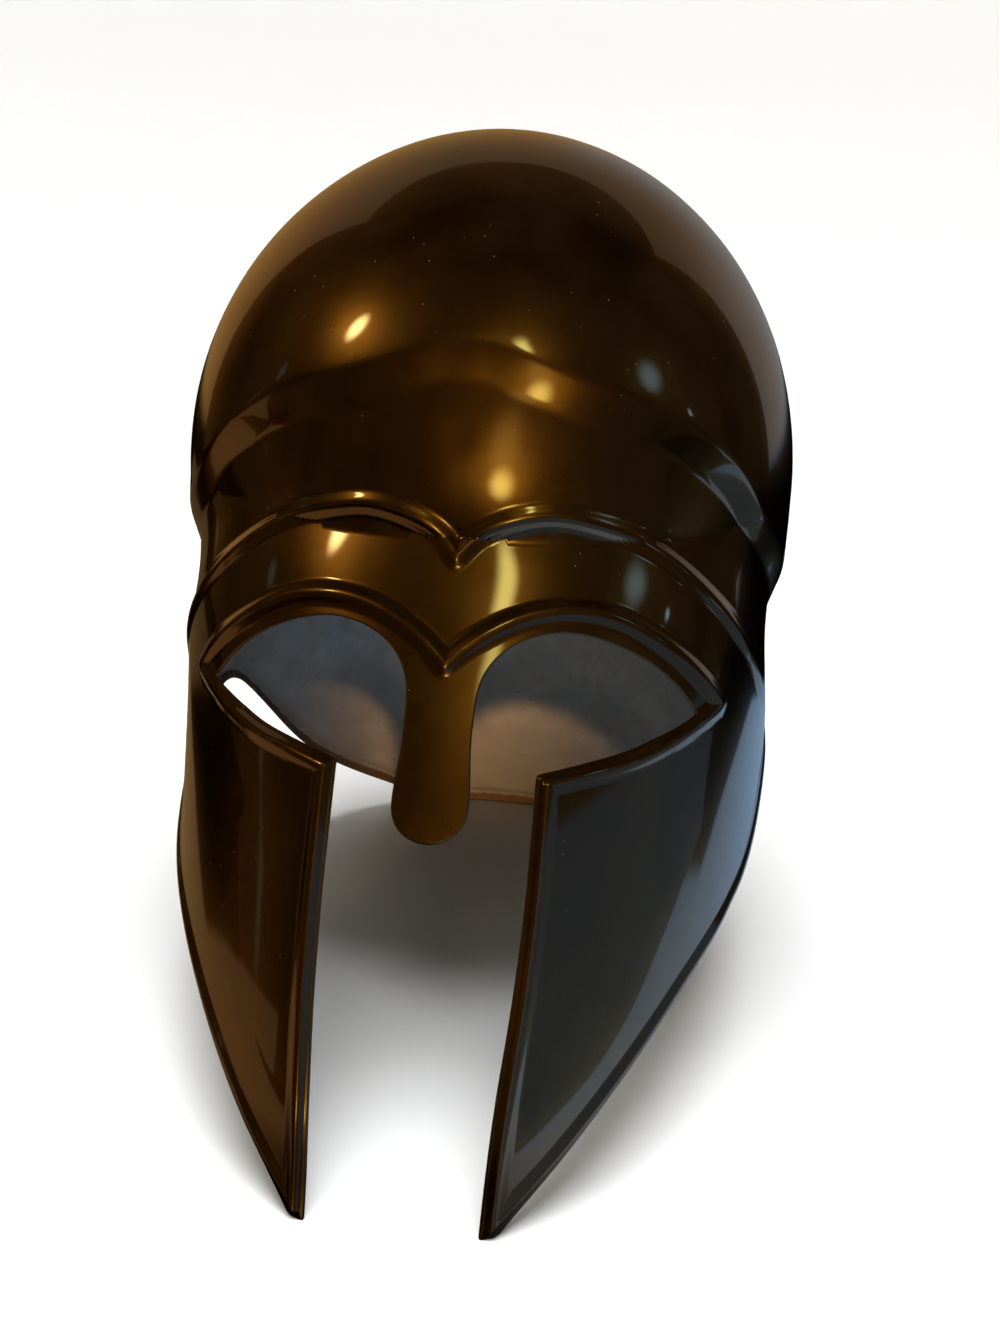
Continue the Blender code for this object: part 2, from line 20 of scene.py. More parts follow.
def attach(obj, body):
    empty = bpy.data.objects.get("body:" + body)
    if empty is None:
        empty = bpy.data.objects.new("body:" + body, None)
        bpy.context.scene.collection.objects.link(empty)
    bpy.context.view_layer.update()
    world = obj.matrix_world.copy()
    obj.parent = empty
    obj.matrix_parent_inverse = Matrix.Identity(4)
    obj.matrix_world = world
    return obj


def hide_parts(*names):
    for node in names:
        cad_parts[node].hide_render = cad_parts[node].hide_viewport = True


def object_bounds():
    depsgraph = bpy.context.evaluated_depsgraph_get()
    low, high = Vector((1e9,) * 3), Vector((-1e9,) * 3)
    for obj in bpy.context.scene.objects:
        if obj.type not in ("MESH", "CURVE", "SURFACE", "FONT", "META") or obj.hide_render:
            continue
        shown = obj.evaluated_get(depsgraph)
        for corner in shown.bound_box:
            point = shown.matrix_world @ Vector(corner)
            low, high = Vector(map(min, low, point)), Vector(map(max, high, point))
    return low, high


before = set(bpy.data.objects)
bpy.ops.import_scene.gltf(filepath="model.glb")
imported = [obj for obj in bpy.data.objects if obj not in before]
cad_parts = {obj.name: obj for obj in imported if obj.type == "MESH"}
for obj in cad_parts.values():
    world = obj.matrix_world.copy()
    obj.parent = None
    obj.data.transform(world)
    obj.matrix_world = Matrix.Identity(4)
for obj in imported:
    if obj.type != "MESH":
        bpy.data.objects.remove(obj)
part_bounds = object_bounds()
print("bounds of the part in metres:", part_bounds)

# %% [markdown]
# ## Sizes
# An armourer would start from the wearer's head and add room for padding. This helmet is about 225 mm over
# the cheeks, which suits most grown heads. All sizes are real ones, in metres, as the helmet stands on the
# tips of its cheeks and on the rim at the back of the neck.

# %% The whole helmet
WIDTH = 0.226
HEIGHT = 0.3085
DEPTH = 0.312
WALL = 0.0012
SPRING = 0.186          # the level where the skull is widest and begins to close in
CROWN_SHIFT = 0.018     # how far back the crown lies from the middle of that level
FULLNESS = 0.01
SPRING_TO_CROWN = HEIGHT - SPRING
CENTRE_Y = 0.120
print("height and depth in mm:", HEIGHT * 1000, DEPTH * 1000)

# %% The raised work
STEP_DEPTH = 0.0040
STEP_BAND = 0.0135
STEP_FADE = 0.060
STEP_ROUND = 0.0007
STEP_FRONT = 0.6        # the share of its depth at the middle of the forehead
STEP_WHOLE_AT = 65      # the angle where the step is whole, in degrees
RIDGE_HEIGHT = 0.0015
RIDGE_WIDTH = 0.0098
BORDER_HEIGHT = 0.0012
BORDER_WIDTH = 0.0078
BORDER_TURN = 0.0012
BORDER_TURN_WIDTH = 0.0033
BEAD_START = 0.014
CORNER_ROUND = 0.0013
RIDGE_CORNER = 0.0018
UPPER_FADE = 0.34
LOWER_FADE = 0.10
print("step, ridge and bead in mm:", STEP_DEPTH * 1000, RIDGE_HEIGHT * 1000, BORDER_HEIGHT * 1000)

# %% [markdown]
# ## Level sections of the skin
# The skull is nearly an ellipse seen from above. Lower down, the cheeks reach further and further forward,
# and the neck guard first comes in to the nape and then runs out again to the rim. So each level has its own
# half width and its own reach to the front and to the back.

# %% Height / HEIGHT, half width / WIDTH, front reach / DEPTH, back reach / DEPTH, power of the curve
SECTIONS = np.array((
    (-0.04, 0.496, 0.686, 0.356, 2.00),
    (0.000, 0.496, 0.664, 0.352, 2.00),
    (0.097, 0.495, 0.628, 0.342, 2.00),
    (0.195, 0.493, 0.570, 0.333, 2.02),
    (0.292, 0.491, 0.506, 0.332, 2.05),
    (0.389, 0.490, 0.449, 0.350, 2.10),
    (0.486, 0.491, 0.388, 0.380, 2.15),
    (0.603, 0.492, 0.311, 0.401, 2.20),
    (0.648, 0.489, 0.282, 0.404, 2.20)))
TURN_FROM = 40          # from this angle on, in degrees, the front reach turns into the back reach
TURN_OVER = 100
print("levels:", len(SECTIONS))

# %% [markdown]
# ## Lines on the skin
# These are the lines that the maker scribes on the metal before cutting and raising: the edge of the nasal,
# eyes and cheeks, the crease under the skull, and the two brow ridges. Each line is a row of places, as an
# angle from the front in degrees and a height / HEIGHT. Only one half is needed, because the helmet is even.

# %% The edge, from the tip of the nasal round to the back of the neck
NOSE_AND_EYE = ((0.0, 0.3345), (1.5, 0.336), (2.9, 0.3405), (4.1, 0.349), (4.75, 0.361), (4.9, 0.376),
                (4.8, 0.3955), (4.7, 0.412), (4.7, 0.431), (4.9, 0.451), (5.3, 0.469), (6.3, 0.485),
                (8.3, 0.5), (11.5, 0.5125), (15.5, 0.5195), (20.0, 0.5205), (25.0, 0.5125), (30.0, 0.497),
                (34.5, 0.475), (38.0, 0.45), (40.4, 0.428))
CHEEK_TOP = ((40.4, 0.428), (37.0, 0.4215), (33.6, 0.4165), (27.0, 0.4085), (21.5, 0.4045), (17.0, 0.4005),
             (13.4, 0.3968))
CHEEK_FRONT = ((13.4, 0.3968), (12.3, 0.32), (11.7, 0.279), (11.0, 0.24), (10.0, 0.188), (8.9, 0.13),
               (8.2, 0.071), (7.65, 0.0))
CHEEK_TIP = ((7.65, 0.0), (9.2, 0.0))
LOWER_EDGE = ((9.2, 0.0), (10.4, 0.011), (12.3, 0.027), (15.2, 0.05), (20.2, 0.085), (26.3, 0.118),
              (33.5, 0.1465), (38.0, 0.159), (44.0, 0.1715), (50.0, 0.182), (58.0, 0.196), (68.0, 0.216),
              (78.0, 0.242), (86.0, 0.265), (92.0, 0.28), (98.0, 0.2845), (103.7, 0.273), (108.5, 0.251),
              (115.0, 0.211), (125.8, 0.137), (138.0, 0.079), (151.0, 0.036), (161.0, 0.01),
              (168.0, 0.0))
REAR_FOOT = ((168.0, 0.0), (180.0, 0.0))

# %% The crease under the skull and the two brow ridges
SKULL_CREASE = ((0.0, 0.76), (4.0, 0.759), (10.0, 0.75), (18.0, 0.735), (25.0, 0.7215), (36.0, 0.701),
                (43.0, 0.682), (48.5, 0.66), (54.7, 0.629), (61.0, 0.585), (70.0, 0.535),
                (80.0, 0.49), (92.0, 0.448), (106.0, 0.411), (122.0, 0.378), (142.0, 0.352),
                (162.0, 0.338), (180.0, 0.334))
UPPER_RIDGE = ((0.0, 0.5855), (2.3, 0.599), (4.7, 0.61), (10.5, 0.624), (18.0, 0.63), (25.0, 0.623),
               (35.7, 0.599), (43.0, 0.564), (52.3, 0.503), (60.0, 0.446), (67.0, 0.398),
               (74.0, 0.36), (82.0, 0.33))
LOWER_RIDGE = ((0.0, 0.49), (3.2, 0.5075), (7.0, 0.522), (12.2, 0.535), (20.0, 0.541), (28.0, 0.531),
               (33.0, 0.513), (38.5, 0.485), (43.2, 0.454), (46.6, 0.426))
RIDGE_RETURN = ((46.6, 0.426), (43.5, 0.421), (40.3, 0.416), (34.0, 0.406), (30.0, 0.401))
print("height of the crease over the brow in mm:", round(SKULL_CREASE[0][1] * HEIGHT * 1000))

# %% [markdown]
# ## Smooth curves through the tables
# A bent spring batten passes through every nail and is as smooth as it can be between them. A natural cubic
# curve does the same for a table of numbers. The easing curve goes from 0 to 1 with no kink at either end.


# %% A batten through a table
def spline(at, xs, ys):
    """The height of a natural cubic curve through the places xs, ys."""
    n = len(xs)
    gap = np.diff(xs)
    rows = np.eye(n)
    side = np.zeros(n)
    for i in range(1, n - 1):
        rows[i, i - 1:i + 2] = gap[i - 1], 2 * (gap[i - 1] + gap[i]), gap[i]
        side[i] = 6 * ((ys[i + 1] - ys[i]) / gap[i] - (ys[i] - ys[i - 1]) / gap[i - 1])
    bend = np.linalg.solve(rows, side)
    i = np.clip(np.searchsorted(xs, at) - 1, 0, n - 2)
    t = at - xs[i]
    u = xs[i + 1] - at
    g = gap[i]
    cubic = bend[i] * u**3 / (6 * g) + bend[i + 1] * t**3 / (6 * g)
    return cubic + (ys[i] / g - bend[i] * g / 6) * u + (ys[i + 1] / g - bend[i + 1] * g / 6) * t


def ease(x):
    x = np.clip(x, 0.0, 1.0)
    return x**3 * (x * (6 * x - 15) + 10)


foot_reach = float(spline(0.0, SECTIONS[:, 0], SECTIONS[:, 2])) * DEPTH
print("front reach at the foot in mm:", round(foot_reach * 1000, 1))


# %% [markdown]
# ## The plain skin
# Below the springing level the way down is simply a height. Above it, the skull is half an ellipsoid, and the
# way is measured over its arc to the crown, so it is less than nothing there.

# %% A height turned into a way down
def down_from_height(z):
    rise = np.clip((z - SPRING) / SPRING_TO_CROWN, 0.0, 1.0)
    return np.where(z > SPRING, -SPRING_TO_CROWN * np.arcsin(rise), SPRING - z)


# %% A point of the skin before its raised work
def plain_skin(angle, down):
    tilt = np.clip(-down / SPRING_TO_CROWN, 0.0, np.pi / 2)
    level = np.where(down > 0, SPRING - down, SPRING) / HEIGHT
    half, front, back, power = (spline(level, SECTIONS[:, 0], SECTIONS[:, k]) for k in range(1, 5))
    turn = ease((np.abs(angle) - np.radians(TURN_FROM)) / np.radians(TURN_OVER))
    reach = (front + (back - front) * turn) * DEPTH
    across = np.abs(np.sin(angle)) / (half * WIDTH)
    along = np.abs(np.cos(angle)) / reach
    shrink = np.cos(tilt) * (1 + FULLNESS * np.sin(2 * tilt)**2)
    r = shrink / (across**power + along**power)**(1 / power)
    z = np.where(down > 0, SPRING - down, SPRING + SPRING_TO_CROWN * np.sin(tilt))
    centre = CENTRE_Y + CROWN_SHIFT * np.sin(tilt)**2
    return np.stack([r * np.sin(angle), centre - r * np.cos(angle), z], axis=-1)


side = plain_skin(np.radians(90.0), 0.0)
print("half width at the springing level in mm:", round(float(side[0]) * 1000, 1))

# %% [markdown]
# ## Which way is out
# The two slopes of the skin at a place are found by stepping a hair's breadth each way. What stands square on
# both of them points straight out of the metal, and the metal's thickness is measured along it.

# %% Slopes and outward directions
PROBE = 1e-4


def unit(v):
    return v / np.maximum(np.linalg.norm(v, axis=-1, keepdims=True), 1e-12)


def slopes(skin, angle, down):
    along = (skin(angle + PROBE, down) - skin(angle - PROBE, down)) / (2 * PROBE)
    fall = (skin(angle, down + PROBE / 2) - skin(angle, down - PROBE / 2)) / PROBE
    return along, fall


def outward(skin, angle, down):
    along, fall = slopes(skin, angle, down)
    return unit(np.cross(fall, along))


# %% [markdown]
# ## Tracing a line
# A line is walked in even steps over the metal. A line that crosses the middle of the face or of the nape
# runs on into its mirror image, so that it crosses square and without a kink.

# %% Even steps along a line of a table
PLANE_RADIUS = 0.112
FINE_STEPS = 1200


def trace(table, step, over_front=False, over_back=False):
    table = np.array(table)
    flat = np.stack([np.radians(table[:, 0]) * PLANE_RADIUS, down_from_height(table[:, 1] * HEIGHT)], axis=1)
    run = np.r_[0.0, np.cumsum(np.linalg.norm(np.diff(flat, axis=0), axis=1))]
    fine = np.linspace(0.0, run[-1], FINE_STEPS)
    if over_front:
        flat = np.r_[flat[:0:-1] * (-1, 1), flat]
        run = np.r_[-run[:0:-1], run]
    if over_back:
        far = flat[-2::-1] * (-1, 1) + (2 * np.pi * PLANE_RADIUS, 0)
        run = np.r_[run, 2 * run[-1] - run[-2::-1]]
        flat = np.r_[flat, far]
    level = np.minimum(spline(fine, run, flat[:, 1]), SPRING)
    places = np.stack([spline(fine, run, flat[:, 0]) / PLANE_RADIUS, level], axis=1)
    length = run_over(plain_skin(*places.T))
    at = np.linspace(0.0, length[-1], max(1, round(length[-1] / step)) + 1)
    return np.stack([np.interp(at, length, places[:, 0]), np.interp(at, length, places[:, 1])], axis=1)


def run_over(points):
    return np.r_[0.0, np.cumsum(np.linalg.norm(np.diff(points, axis=0), axis=1))]


# %% Two lines joined, with the corner between them rounded off
ARC_STEPS = 1.6         # steps of the arc for each radius that fits in a step of the line
TOO_CLOSE = 0.35


def joined(first, second, corner_round, step):
    corner = plain_skin(*second[0])
    start, keep_a = cut_short(first, corner, corner_round, step)
    finish, keep_b = cut_short(second[::-1], corner, corner_round, step)
    pieces = max(2, round(ARC_STEPS * corner_round / step))
    t = np.linspace(0.0, 1.0, pieces + 1)[:, None]
    arc = (1 - t)**2 * start + 2 * t * (1 - t) * second[0] + t**2 * finish
    return np.r_[keep_a, arc, keep_b[::-1]]


def cut_short(line, corner, radius, step):
    """Where a line comes within a radius of the corner at its end, and what is left of it."""
    far = np.linalg.norm(plain_skin(*line.T) - corner, axis=1)
    i = int(np.flatnonzero(far > radius)[-1])
    t = (far[i] - radius) / (far[i] - far[i + 1])
    end = line[i] + (line[i + 1] - line[i]) * t
    keep = line[:i + 1]
    if far[i] - radius < TOO_CLOSE * step:
        keep = keep[:-1]
    return end, keep


# %% The whole edge of one half
NOSE_STEP = 0.0055
TIP_STEP = 0.003


def border_line(step):
    line = trace(NOSE_AND_EYE, min(step, NOSE_STEP), over_front=True)
    for table in (CHEEK_TOP, CHEEK_FRONT, CHEEK_TIP, LOWER_EDGE):
        at = min(step, TIP_STEP) if table is CHEEK_TIP else step
        line = joined(line, trace(table, at), CORNER_ROUND, step)
    return np.r_[line, trace(REAR_FOOT, step)[1:]]


edge = border_line(0.002)
print("edge of one half in mm:", round(run_over(plain_skin(*edge.T))[-1] * 1000))

# %% [markdown]
# ## How far is a place from a line?
# The height of a bead or ridge depends only on how far a place is from its line. A search tree finds the
# nearest point of the line, and the short stretches on each side of that point give the true distance.


# %% A line and its mirror image that can be measured to
class Line:
    def __init__(self, places, weight):
        points = plain_skin(*places.T)
        self.half = len(points)
        self.points = np.r_[points, points * (-1, 1, 1)]
        self.weight = np.r_[weight, weight]
        self.tree = kdtree.KDTree(2 * self.half)
        for i, p in enumerate(self.points):
            self.tree.insert(p, i)
        self.tree.balance()

    def reach(self, at):
        """Distance to the line, the line's weight there, and the nearest point."""
        near = np.array([self.tree.find(p)[1] for p in at])
        spot = self.points[near]
        best = np.linalg.norm(at - spot, axis=1)
        weight = self.weight[near]
        for turn in (-1, 1):
            other = np.clip(near + turn, 0, 2 * self.half - 1)
            other = np.where(other // self.half == near // self.half, other, near)
            a = self.points[near]
            ab = self.points[other] - a
            t = np.clip(((at - a) * ab).sum(1) / np.maximum((ab**2).sum(1), 1e-18), 0, 1)
            on = a + ab * t[:, None]
            far = np.linalg.norm(at - on, axis=1)
            closer = far < best
            best = np.where(closer, far, best)
            spot = np.where(closer[:, None], on, spot)
            weight = np.where(closer, self.weight[near] * (1 - t) + self.weight[other] * t, weight)
        return best, weight, spot


# %% The border, with its bead from the corner of the eye onwards
TRACE_STEP = 0.0008
places = border_line(TRACE_STEP)
points = plain_skin(*places.T)
to_eye_corner = np.linalg.norm(points - plain_skin(*trace(CHEEK_TOP, 1)[0]), axis=1)
to_cheek_corner = np.linalg.norm(points - plain_skin(*trace(CHEEK_FRONT, 1)[0]), axis=1)
past_eye = run_over(points) - run_over(points)[to_eye_corner.argmin()]
bead_weight = np.where(np.arange(len(points)) > to_cheek_corner.argmin(), 1.0, ease(past_eye / BEAD_START))
BORDER = Line(places, bead_weight)

# %% The brow ridges, which die away at their ends
places = trace(UPPER_RIDGE, TRACE_STEP)
along = np.linspace(0.0, 1.0, len(places))
UPPER = Line(places, 1 - ease((along - 1 + UPPER_FADE) / UPPER_FADE))
places = joined(trace(LOWER_RIDGE, TRACE_STEP), trace(RIDGE_RETURN, TRACE_STEP), RIDGE_CORNER, TRACE_STEP)
along = np.linspace(0.0, 1.0, len(places))
LOWER = Line(places, 1 - ease((along - 1 + LOWER_FADE) / LOWER_FADE))
CREASE = trace(SKULL_CREASE, 0.002, True, True)
print("points to measure to:", 2 * (BORDER.half + UPPER.half + LOWER.half))

# %% [markdown]
# ## The raised work
# The bead is a soft half round along the edge, and the metal outside it is turned in a little, which stiffens
# the edge and keeps it off the wearer's skin. The ridges are low rounded welts. The skull stands out over the
# rest in a crisp step, which is sunk with a blunt tool from the outside.


# %% Cross-sections
def bead_shape(d):
    return BORDER_HEIGHT * np.sin(np.pi * np.clip(d / BORDER_WIDTH, 0, 1))**2


def turn_shape(d):
    return BORDER_TURN * (1 - ease(d / BORDER_TURN_WIDTH))


def ridge_shape(d):
    return RIDGE_HEIGHT * np.cos(np.pi * np.clip(d / RIDGE_WIDTH, 0, 0.5))**2


def softer(a, b, k):
    """The larger of two, with a rounded change-over."""
    h = np.clip(0.5 + 0.5 * (a - b) / k, 0.0, 1.0)
    return b + (a - b) * h + k * h * (1 - h)


def step_shape(below):
    top = -STEP_DEPTH * (below + STEP_BAND) / STEP_BAND
    upper = -softer(-top, 0 * top, STEP_ROUND)
    lower = -STEP_DEPTH * (1 - ease(below / STEP_FADE))
    return softer(upper, lower, STEP_ROUND)


# %% The finished outer face
def relief(angle, down, at):
    folded = np.abs(angle)
    folded = np.where(folded > np.pi, 2 * np.pi - folded, folded)
    share = STEP_FRONT + (1 - STEP_FRONT) * ease(folded / np.radians(STEP_WHOLE_AT))
    step = step_shape(down - np.interp(folded, CREASE[:, 0], CREASE[:, 1])) * share
    ridges = 0.0
    for line in (UPPER, LOWER):
        far, weight, _ = line.reach(at)
        ridges = np.maximum(ridges, ridge_shape(far) * weight)
    far, weight, _ = BORDER.reach(at)
    return step + np.maximum(ridges, bead_shape(far) * weight) - turn_shape(far) * weight


def skin(angle, down):
    plain = plain_skin(angle, down)
    return plain + outward(plain_skin, angle, down) * relief(angle, down, plain)[:, None]


print("height of the bead's crest in mm:", round(float(bead_shape(BORDER_WIDTH / 2)) * 1000, 2))

# %% [markdown]
# ## Spreading the skin flat
# To cut the skin into neat triangles, one half is spread flat in a way that keeps its angles, as on a sea
# chart. The crown becomes the middle of the chart and the rims lie furthest out.

# %% To the chart and back
PLANE_POWER = 1.1


def to_chart(angle, down):
    tilt = np.clip(-down / SPRING_TO_CROWN, 0.0, np.pi / 2)
    q = np.where(down < 0, np.tan(np.pi / 4 - tilt / 2)**PLANE_POWER, np.exp(down / PLANE_RADIUS))
    return np.stack([q * np.sin(angle), -q * np.cos(angle)], axis=-1)


def from_chart(p):
    q = np.linalg.norm(p, axis=-1)
    tilt = np.pi / 2 - 2 * np.arctan(np.minimum(q, 1.0)**(1 / PLANE_POWER))
    down = np.where(q < 1.0, -SPRING_TO_CROWN * tilt, PLANE_RADIUS * np.log(np.maximum(q, 1.0)))
    return np.arctan2(np.abs(p[:, 0]), -p[:, 1]), down


# %% Whether a place lies on the metal, by how often a line from it crosses the edge
def on_metal(places, border):
    p = to_chart(*places.T) + (1e-7, 0.0)
    line = to_chart(*border.T)
    inside = np.zeros(len(p), bool)
    for (x0, y0), (x1, y1) in zip(line[:-1], line[1:]):
        if y0 != y1:
            cross = (y0 > p[:, 1]) != (y1 > p[:, 1])
            inside ^= cross & (p[:, 0] < x0 + (p[:, 1] - y0) * (x1 - x0) / (y1 - y0))
    return inside


# %% [markdown]
# ## Rows that follow the work
# A bead only looks crisp where rows of points run along it. So rows are laid beside the edge, the ridges and
# the crease, closer together where the metal bends more, and an even field of points fills the rest.

# %% Places moved over the skin, square to a line
UPRIGHT_OVER = 0.012    # how far from the middle a row stops running straight down
LEAST_SLANT = 0.35
PASSES = 2


def moved(places, way, distance):
    angle, down = places.T.copy()
    for _ in range(PASSES):
        along, fall = slopes(plain_skin, angle, down)
        aa, af, ff = (along**2).sum(1), (along * fall).sum(1), (fall**2).sum(1)
        ra = (along * way).sum(1) * distance / PASSES
        rf = (fall * way).sum(1) * distance / PASSES
        det = aa * ff - af**2
        angle = angle + (ra * ff - rf * af) / det
        down = down + (rf * aa - ra * af) / det
    return np.stack([angle, down], axis=1)


def row_beside(places, distance, upright_at):
    """A row at a distance to the left of a line, going straight down at the ends that lie in the middle."""
    points = plain_skin(*places.T)
    tangent = unit(np.gradient(points, axis=0))
    square = unit(np.cross(outward(plain_skin, *places.T), tangent))
    fall = unit(slopes(plain_skin, *places.T)[1])
    sign = np.sign((square * fall).sum(1))[:, None]
    way = square
    for end in upright_at:
        mix = ease(np.linalg.norm(points - points[end], axis=1) / UPRIGHT_OVER)[:, None]
        way = unit(way * mix + fall * sign * (1 - mix))
    stretch = 1 / np.maximum((way * square).sum(1), LEAST_SLANT)
    return moved(places, way, distance * stretch)


# %% How finely the metal is cut up
FIELD_STEP, LINE_STEP, ROW_STEP, RIDGE_SIDE = 0.0023, 0.0017, 0.00065, 8
EDGE_ROUND = WALL / 2
EDGE_ROWS = EDGE_ROUND * np.array((0.0, 0.06, 0.3, 1.0))
BORDER_ROWS = np.r_[EDGE_ROWS, np.arange(EDGE_ROUND + ROW_STEP, BORDER_WIDTH + ROW_STEP, ROW_STEP)]
RIDGE_ROWS = np.arange(-RIDGE_SIDE, RIDGE_SIDE + 1) * ROW_STEP
STEP_ROWS = (-0.0155, -0.0145, -0.0135, -0.0125, -0.0115, -0.009, -0.006, -0.0035, -0.002, -0.0012, -0.0007,
             -0.0003, 0.0, 0.0003, 0.0007, 0.0012, 0.002, 0.0035, 0.006)
TINY = 1e-9             # room for rounding at the middle
CLEAR = 0.28 * LINE_STEP
CREASE_STEP = LINE_STEP * 1.15
LEVEL_STEP = FIELD_STEP * 0.87
LEVEL_PLACES = 400
print("rows along the border, a ridge and the crease:", len(BORDER_ROWS), len(RIDGE_ROWS), len(STEP_ROWS))


# %% A gathering of places, and of the edges that the triangles must keep
class Cut:
    def __init__(self):
        self.places = []
        self.edges = []
        self.points = np.zeros((0, 3))
        self.count = 0

    def add(self, places, keep, linked=True):
        kept = np.flatnonzero(keep)
        if linked:
            pairs = np.flatnonzero(np.diff(kept) == 1) + self.count
            self.edges += [(int(i), int(i) + 1) for i in pairs]
        self.places.append(places[kept])
        self.points = np.r_[self.points, plain_skin(*places[kept].T)]
        self.count += len(kept)


def near_any(points, others, limit):
    tree = kdtree.KDTree(max(1, len(others)))
    for i, p in enumerate(others):
        tree.insert(p, i)
    tree.balance()
    return np.array([len(others) > 0 and tree.find(p)[2] < limit for p in points])


def one_side(row):
    """Whether the places of a row lie on the half that is being cut up."""
    return (row[:, 0] > -TINY) & (row[:, 0] < np.pi + TINY)


# %% Rows along the border
NEAR_SHARE = 0.9        # a row is left out where a bend of its line brings it nearer than this
border = border_line(LINE_STEP)
bead_here = BORDER.reach(plain_skin(*border.T))[1]
cut = Cut()
for i, distance in enumerate(BORDER_ROWS):
    row = row_beside(border, distance, (0, -1)) if distance else border.copy()
    row[0, 0], row[-1, 0] = 0.0, np.pi
    far = BORDER.reach(plain_skin(*row.T))[0]
    keep = (far > NEAR_SHARE * distance - 1e-6) & one_side(row)
    keep &= (bead_here > 0.5) | (i < len(EDGE_ROWS) + 1)
    cut.add(row, keep | (distance == 0))
print("places along the border:", cut.count)


# %% Rows along the ridges and the crease, kept clear of what is there already
RIDGE_NEAR_SHARE = 0.85


def lay_rows(line, offsets, own):
    before = cut.points.copy()
    for distance in offsets:
        row = row_beside(line, distance, (0,)) if own else line + (0.0, distance)
        row[0, 0] = line[0, 0]
        at = plain_skin(*row.T)
        far, bead, _ = BORDER.reach(at)
        keep = far > np.where(bead > 0.5, BORDER_ROWS[-1], BORDER_ROWS[len(EDGE_ROWS)]) + CLEAR
        keep &= ~near_any(at, before, CLEAR) & one_side(row)
        if own:
            keep &= own.reach(at)[0] > RIDGE_NEAR_SHARE * abs(distance) - 1e-6
        cut.add(row, keep & on_metal(row, border))


lay_rows(trace(LOWER_RIDGE, LINE_STEP), RIDGE_ROWS, LOWER)
lay_rows(trace(UPPER_RIDGE, LINE_STEP), RIDGE_ROWS, UPPER)
lay_rows(trace(SKULL_CREASE, CREASE_STEP, True, True), STEP_ROWS, None)
print("with the ridges and the crease:", cut.count)

# %% An even field over the rest
before = cut.points.copy()
crown_down = -SPRING_TO_CROWN * np.pi / 2
levels = np.arange(crown_down + FIELD_STEP, SPRING, LEVEL_STEP)
fine = np.linspace(0.0, np.pi, LEVEL_PLACES)
for i, level in enumerate(levels):
    run = run_over(plain_skin(fine, np.full(LEVEL_PLACES, level)))
    count = max(3, round(run[-1] / FIELD_STEP))
    at = np.r_[0.0, np.arange(count) + 0.5, count] if i % 2 else np.arange(count + 1.0)
    row = np.stack([np.interp(at * run[-1] / count, run, fine), np.full(len(at), level)], axis=1)
    keep = ~near_any(plain_skin(*row.T), before, 0.5 * FIELD_STEP)
    cut.add(row, keep & on_metal(row, border), linked=False)
cut.add(np.array([[0.0, crown_down]]), np.array([True]))
print("with the field:", cut.count)

# %% The triangles of one half
flat = to_chart(*np.concatenate(cut.places).T)
flat[np.abs(flat[:, 0]) < 1e-7, 0] = 0.0
seam = np.flatnonzero(flat[:, 0] == 0.0)
seam = seam[np.argsort(flat[seam, 1])].tolist()
edges = cut.edges + list(zip(seam[:-1], seam[1:]))
flat, _, tris, *_ = delaunay_2d_cdt([Vector(p) for p in flat], edges, [], 1, 1e-9)
flat = np.array([v[:] for v in flat])
tris = np.array(tris)
angle, down = from_chart(flat)
print("triangles in one half:", len(tris))

# %% [markdown]
# ## The two faces of the sheet
# The outer face is worked out first, and the inner face lies one wall behind it. Along the edge the two meet
# in a half round, as a file and emery leave it. Both halves are then put together.

# %% One half's outer face, its outward direction, and how far each point is from the edge
middle = skin(angle, down)
normal = outward(skin, angle, down)
plain = plain_skin(angle, down)
edge_far, bead_near, edge_spot = BORDER.reach(plain)
crest = bead_shape(edge_far) * bead_near / BORDER_HEIGHT
for line in (UPPER, LOWER):
    far, weight, _ = line.reach(plain)
    crest = np.maximum(crest, ridge_shape(far) * weight / RIDGE_HEIGHT)
from_edge = plain - edge_spot
from_edge = unit(from_edge - normal * (from_edge * normal).sum(1)[:, None])
on_seam = flat[:, 0] < 1e-7
crown = np.hypot(*flat.T) < 1e-6
middle[crown] = 0.0, CENTRE_Y + CROWN_SHIFT, HEIGHT
normal[crown] = 0.0, 0.0, 1.0
for v in (middle, normal, from_edge):
    v[on_seam, 0] = 0.0
normal = unit(normal)
print("points of one half:", len(middle), "and on its seam:", int(on_seam.sum()))

# %% Both halves
spare = np.flatnonzero(~on_seam)
twin = np.arange(len(middle))
twin[spare] = len(middle) + np.arange(len(spare))
both = np.r_[np.arange(len(middle)), spare]
mirror = np.where(np.arange(len(both)) < len(middle), 1.0, -1.0)[:, None] * (1, 0, 0) + (0, 1, 1)
middle, normal, from_edge = (v[both] * mirror for v in (middle, normal, from_edge))
edge_far, crest = edge_far[both], crest[both]
feet = down[both] > SPRING - 2e-5
tris = np.r_[tris, twin[tris][:, ::-1]]
a, b, c = (middle[tris[:, k]] for k in range(3))
if (np.cross(b - a, c - a) * normal[tris[:, 0]]).sum() < 0:
    tris = tris[:, ::-1]
print("points and triangles of a face:", len(middle), len(tris))

# %% [markdown]
# ## Hammer work
# No raised sheet is quite even. The maker planishes the metal over a stake, and many shallow facets are left,
# mostly less than a tenth of a millimetre deep. They can hardly be felt, but a glossy lacquer shows them at
# once, as a slight swimming of every reflection. Each is a soft round hollow or swelling. A few are dents.

